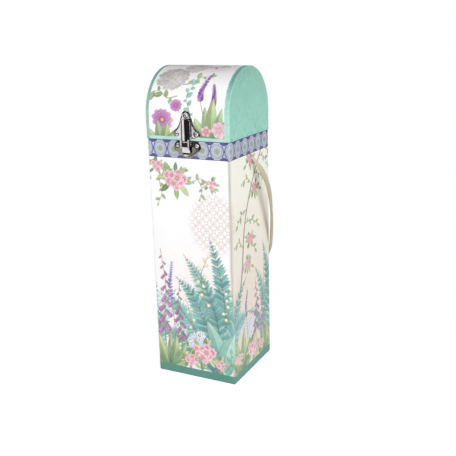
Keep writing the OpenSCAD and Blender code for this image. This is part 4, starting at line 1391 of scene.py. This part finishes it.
def carry_strap():
    """The woven strap: flat in the middle, and gathered into soft pleats where it enters the side boards."""
    line, face, at = ribbon_line()
    out, across, nearness = ribbon_section(at)
    x = line[:, :1] + face[:, :1] * out
    drop = line[:, 1:] + face[:, 1:] * out
    y = STRAP_Y + drop * math.sin(STRAP_LEAN) - across * math.cos(STRAP_LEAN)
    z = STRAP_Z - drop * math.cos(STRAP_LEAN) - across * math.sin(STRAP_LEAN)
    rings, around = x.shape
    marks = ribbon_place(np.repeat(at, around), across.ravel(), np.tile(nearness, rings))
    ends = [list(range(around))[::-1], [(rings - 1) * around + k for k in range(around)]]
    faces = flipped(grid_faces(rings, around, wrap_cols=True)).tolist() + ends
    points = np.stack([x, y, z], -1).reshape(-1, 3)
    build("carry_ribbon", points, faces, marks, RIBBON, "strap", ["carry_strap"], 60)


def knot_spine():
    """The middle line of a strap's end that turns round its tail and through itself."""
    t = np.linspace(0, 2 * math.pi, 141)[:-1]
    ring = 1.18
    return np.column_stack([
        KNOT_X + 1.75 * np.sin(3 * t + 0.4),
        STRAP_Y + ring * (np.sin(t) + 2.05 * np.sin(2 * t)),
        STRAP_Z + ring * (np.cos(t) - 2.05 * np.cos(2 * t)),
    ])


def unit(rows):
    return rows / np.linalg.norm(rows, axis=1)[:, None]


def strap_knot(side):
    """The knot of the strap's end inside the box: a creased tube along knot_spine."""
    spine = knot_spine()
    way = unit(np.roll(spine, -1, 0) - np.roll(spine, 1, 0))
    out = spine - (KNOT_X, STRAP_Y, STRAP_Z)
    out = unit(out - (out * way).sum(1)[:, None] * way)
    over = np.cross(way, out)
    turn = np.linspace(0, 2 * math.pi, 17)[:-1]
    crease = 1 + 0.06 * np.cos(5 * turn)
    points = (spine[:, None] + out[:, None] * (1.35 * crease * np.cos(turn))[None, :, None]
              + over[:, None] * (1.75 * crease * np.sin(turn))[None, :, None])
    rings, around = points.shape[:2]
    faces = flipped(grid_faces(rings, around, True, True))
    if side < 0:
        points = points * (-1, 1, 1)
        faces = faces[:, ::-1]
    run = np.cumsum(np.linalg.norm(spine - np.roll(spine, 1, 0), axis=1))
    across = np.tile(np.sin(turn), rings)
    marks = ribbon_place(np.repeat(run, around), across * 2.4, np.abs(across))
    where = side_name(side)
    build(f"knot_{where}", points.reshape(-1, 3), faces.tolist(), marks, RIBBON, "strap",
          [f"strap_{where}_knot"], 60)


carry_strap()
strap_knot(1)
strap_knot(-1)

# ---------------------------------------------------------------- stamped plates of the latch

PLATE_T = 1.0
PLATE_RIM = 0.3  # thickness at a plate's edge
PLATE_ROLL = 2.2  # mm over which the edge rises to the plate's full thickness
DISH_DEPTH, DISH_FROM, DISH_WIDTH = 0.45, 1.8, 1.2  # the hollow under a nail's head
RING_STEP, GRID_STEP = 0.3, 0.42
LEVER_Y, LEVER_Z, LUG_R = -54.1, 281.0, 2.1
LIP_LOW, LIP_HIGH, LIP_HALF_W = 303.2, 305.2, 3.6


def front_edges(place, mesh, y):
    """The open edges of a mesh's flat front at depth y, as the points that follow each point."""
    known = {}
    number = [known.setdefault(tuple(np.round(p, 3)), k) for k, p in enumerate(place)]
    follow = {}
    for face in mesh.polygons:
        ids = [number[v] for v in face.vertices]
        if face.normal.y < -0.99 and abs(place[ids[0]][1] - y) < 0.05:
            for a, b in zip(ids, ids[1:] + ids[:1]):
                if a in follow.get(b, ()):
                    follow[b].remove(a)
                else:
                    follow.setdefault(a, []).append(b)
    return {a: b for a, b in follow.items() if b}


def front_outline(node, y):
    """The outer edge of a plate's flat front at depth y, as (x, z) points, read from the CAD's own mesh."""
    mesh = nodes[node].data
    place = np.array([v.co for v in mesh.vertices]) / MM
    follow = front_edges(place, mesh, y)
    loops = []
    while follow:
        first = at = next(iter(follow))
        loop = []
        while not loop or at != first:
            loop.append(at)
            ahead = follow[at].pop()
            if not follow[at]:
                del follow[at]
            at = ahead
        loops.append(place[loop][:, [0, 2]])
    return max(loops, key=lambda p: np.ptp(p[:, 0]))


def closed_even(loop, step):
    """A closed line's points at even steps."""
    return even(np.vstack([loop, loop[:1]]), step)[0][:-1]


def from_edge(points, ring):
    """How far flat points lie from a closed line, in mm, and which of them lie inside it."""
    after = np.roll(ring, -1, 0)
    step = after - ring
    apart = points[:, None] - ring
    t = np.clip((apart * step).sum(-1) / (step**2).sum(-1), 0, 1)
    away = np.linalg.norm(apart - t[..., None] * step, axis=-1).min(1)
    x, z = points[:, :1], points[:, 1:]
    spans = (ring[:, 1] > z) != (after[:, 1] > z)
    cross = ring[:, 0] + (z - ring[:, 1]) * step[:, 0] / np.where(step[:, 1] == 0, 1, step[:, 1])
    return away, (spans & (x < cross)).sum(1) % 2 == 1


def nail_places(node):
    """The middle of each nail of a node, as (x, z)."""
    place = np.array([v.co for v in nodes[node].data.vertices])[:, [0, 2]] / MM
    column = np.round(place[:, 0] / 12)
    return [(place[column == k].min(0) + place[column == k].max(0)) / 2 for k in np.unique(column)]


def plate_depth(flat, ring, nails):
    """A pressed plate's thickness: it rises from its edge, with a dish under each nail."""
    rise = np.clip(from_edge(flat, ring)[0] / PLATE_ROLL, 0, 1)
    depth = PLATE_RIM + (PLATE_T - PLATE_RIM) * np.sin(math.pi / 2 * rise)
    for nail in nails:
        climb = np.clip((np.linalg.norm(flat - nail, axis=1) - DISH_FROM) / DISH_WIDTH, 0, 1)
        depth = np.minimum(depth, PLATE_T - DISH_DEPTH * (1 + np.cos(math.pi * climb)) / 2)
    return depth


def stamped(plate, nails, y_back):
    """Points and faces of a pressed plate with the outline of a node, and its nails' dishes."""
    ring = closed_even(front_outline(plate, y_back - PLATE_T), RING_STEP)
    if signed_area(ring) < 0:
        ring = ring[::-1]
    n = len(ring)
    steps = [np.arange(ring[:, k].min(), ring[:, k].max(), GRID_STEP) for k in range(2)]
    grid = np.stack(np.meshgrid(*steps), -1).reshape(-1, 2)
    away, inside = from_edge(grid, ring)
    flat = np.vstack([ring, grid[inside & (away > 0.28)]])
    faces = delaunay_2d_cdt([Vector(p) for p in flat], [], [list(range(n))], 1, 1e-6)[2]
    depth = plate_depth(flat, ring, nail_places(nails))
    front = np.column_stack([flat[:, 0], y_back - depth, flat[:, 1]])
    behind = np.column_stack([ring[:, 0], np.full(n, y_back), ring[:, 1]])
    first = len(flat)
    faces = turned(flat, faces, 1) + [tuple(first + v for v in f) for f in filled([ring], -1)]
    faces += [(first + k, first + (k + 1) % n, (k + 1) % n, k) for k in range(n)]
    return np.vstack([front, behind]), faces


def solid(outline, x0, x1):
    """Points and faces of a flat (y, z) outline pushed from x0 to x1."""
    if signed_area(outline) > 0:
        outline = outline[::-1]
    n = len(outline)
    points = np.vstack([np.insert(outline, 0, x, axis=1) for x in (x0, x1)])
    faces = [tuple(range(n)), tuple(range(2 * n - 1, n - 1, -1))]
    faces += [(k, n + k, n + (k + 1) % n, (k + 1) % n) for k in range(n)]
    return points, faces


def soften(piece, width, segments=3):
    """Breaks a piece's sharp edges, as plating and tumbling do."""
    edge = piece.modifiers.new("edge", "BEVEL")
    edge.width = width * MM
    edge.segments = segments
    edge.limit_method = "ANGLE"
    edge.angle_limit = math.radians(38)
    edge.harden_normals = True


def pressed(name, parts, material, body, node):
    """One piece of metal from several sets of points and faces, with its edges broken."""
    points, faces = [], []
    for part_points, part_faces in parts:
        first = sum(len(p) for p in points)
        points.append(part_points)
        faces += [tuple(first + v for v in face) for face in part_faces]
    soften(build(name, np.vstack(points), faces, None, material, body, [node]), 0.18)


def lug(x0, x1):
    """A bearing for the lever's pin, pressed up from the base plate."""
    root_y = -HALF - 0.6
    outline = [off(LEVER_Y, LEVER_Z, LUG_R, a) for a in np.linspace(90, 270, 17)]
    outline = [(root_y, LEVER_Z + LUG_R), *outline, (root_y, LEVER_Z - LUG_R)]
    return solid(np.array(outline), x0, x1)


def catch_lip():
    """The lip of the catch plate, which the link reaches over."""
    front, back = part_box("latch_catch_plate")[0][1] / MM, -LID_HALF - 0.5
    outline = [(front, LIP_LOW), (back, LIP_LOW), (back, LIP_HIGH), (front, LIP_HIGH)]
    return solid(np.array(outline), -LIP_HALF_W, LIP_HALF_W)


base = stamped("latch_base_plate", "latch_base_nails", -HALF)
# painted shade: the base plate's nickel is darker and browner than the catch plate's, standing in for the
# dark surroundings that it mirrors
shaded_base_nickel = nickel("shaded_base_nickel", 0.1, "8b8780", "a39d92")
pressed("latch_base", [base, lug(6.0, 7.6), lug(-7.6, -6.0)], shaded_base_nickel, "box", "latch_base_plate")
catch = stamped("latch_catch_plate", "latch_catch_nails", -LID_HALF)
pressed("latch_catch", [catch, catch_lip()], NICKEL, "lid", "latch_catch_plate")
soften(nodes["latch_link"], 0.4, 4)
soften(nodes["latch_lever"], 0.3, 4)

# ---------------------------------------------------------------- floor, backdrop and light

CARD_R, CARD_TOP = 0.5, 0.62  # in metres
FLOOR_LIFT = 0.66  # glow that the floor adds to its light, so that it shows nearly white
WORLD_LOW, WORLD_HIGH = 0.72, 0.02  # the soft light from the sides and from straight above


def stage_floor():
    """A pale floor that keeps the object's shadow, and turns into the white backdrop further away."""
    m = Maker("floor")
    lit = m.node("BsdfDiffuse", {"Color": (0.8, 0.8, 0.8, 1)})
    lift = m.node("Emission", {"Color": WHITE, "Strength": FLOOR_LIFT})
    both = m.node("AddShader", {0: lit, 1: lift})
    white = m.node("Emission", {"Color": WHITE, "Strength": 1.0})
    away = m.node("VectorMath", {0: m.place()}, operation="LENGTH").outputs["Value"]
    near = m.node("MixShader", {0: m.ramp(away, 0.16, 0.34), 1: both, 2: white})
    mesh = bpy.data.meshes.new("floor")
    mesh.from_pydata([(-6, -6, 0), (6, -6, 0), (6, 6, 0), (-6, 6, 0)], [], [(0, 1, 2, 3)])
    mesh.materials.append(m.surface(m.node("MixShader", {0: m.seen(), 1: lit, 2: near})))
    placed("floor", mesh)


def card(name, left, right, low, colour):
    """A tall card that stands round the box between two azimuths, seen in the metal alone."""
    ring = [CARD_R * direction(a, 0) for a in np.linspace(left, right, 25)]
    points = [p + Vector((0, 0, z)) for z in (low, CARD_TOP) for p in ring]
    mesh = bpy.data.meshes.new(name)
    mesh.from_pydata(points, [], grid_faces(2, len(ring)).tolist())
    m = Maker(name)
    mesh.materials.append(m.surface(m.node("Emission", {"Color": (*colour, 1.0), "Strength": 1.0})))
    made = placed(name, mesh)
    for ray in ("camera", "diffuse", "shadow", "transmission", "volume_scatter"):
        setattr(made, f"visible_{ray}", False)


def light_world():
    """White to the camera and in metal, and a soft light that fades from the sides to straight above."""
    m = Maker("world", bpy.data.worlds.new("world"), "OutputWorld")
    toward = m.node("SeparateXYZ", {0: m.node("TexCoord").outputs["Generated"]}).outputs
    level = m.ramp(toward["Z"], 0.05, 0.75, WORLD_LOW, WORLD_HIGH)
    soft = m.node("Background", {"Color": WHITE, "Strength": level})
    white = m.node("Background", {"Color": WHITE, "Strength": 1.0})
    scene.world = m.surface(m.node("MixShader", {0: m.seen(), 1: soft, 2: white}))


def lamp(name, azimuth, elevation, distance, size, level):
    """An area lamp aimed at the box. level is its light on a white surface that faces it, 1 being white."""
    aim = Vector((0, 0, 0.18))
    place = aim + distance * direction(azimuth, elevation)
    data = bpy.data.lights.new(name, "AREA")
    data.shape = "DISK"
    data.size = size
    data.energy = level * math.pi**2 * distance**2
    made = placed(name, data)
    made.location = place
    made.rotation_mode = "QUATERNION"
    made.rotation_quaternion = (aim - place).to_track_quat("-Z", "Y")


stage_floor()
card("card_front", -25, 54, 0.0, (0.012, 0.011, 0.02))
card("card_left", -155, -64, 0.0, (0.02, 0.02, 0.03))
card("card_right", 100, 160, 0.0, (0.05, 0.05, 0.055))
card("card_high", -64, -25, 0.31, (0.02, 0.02, 0.03))
light_world()
lamp("key", 10, 18, 2.2, 0.9, 0.465)
lamp("fill", 70, 12, 2.4, 3.2, 0.91)
lamp("rear", 235, 6, 2.4, 2.0, 0.42)
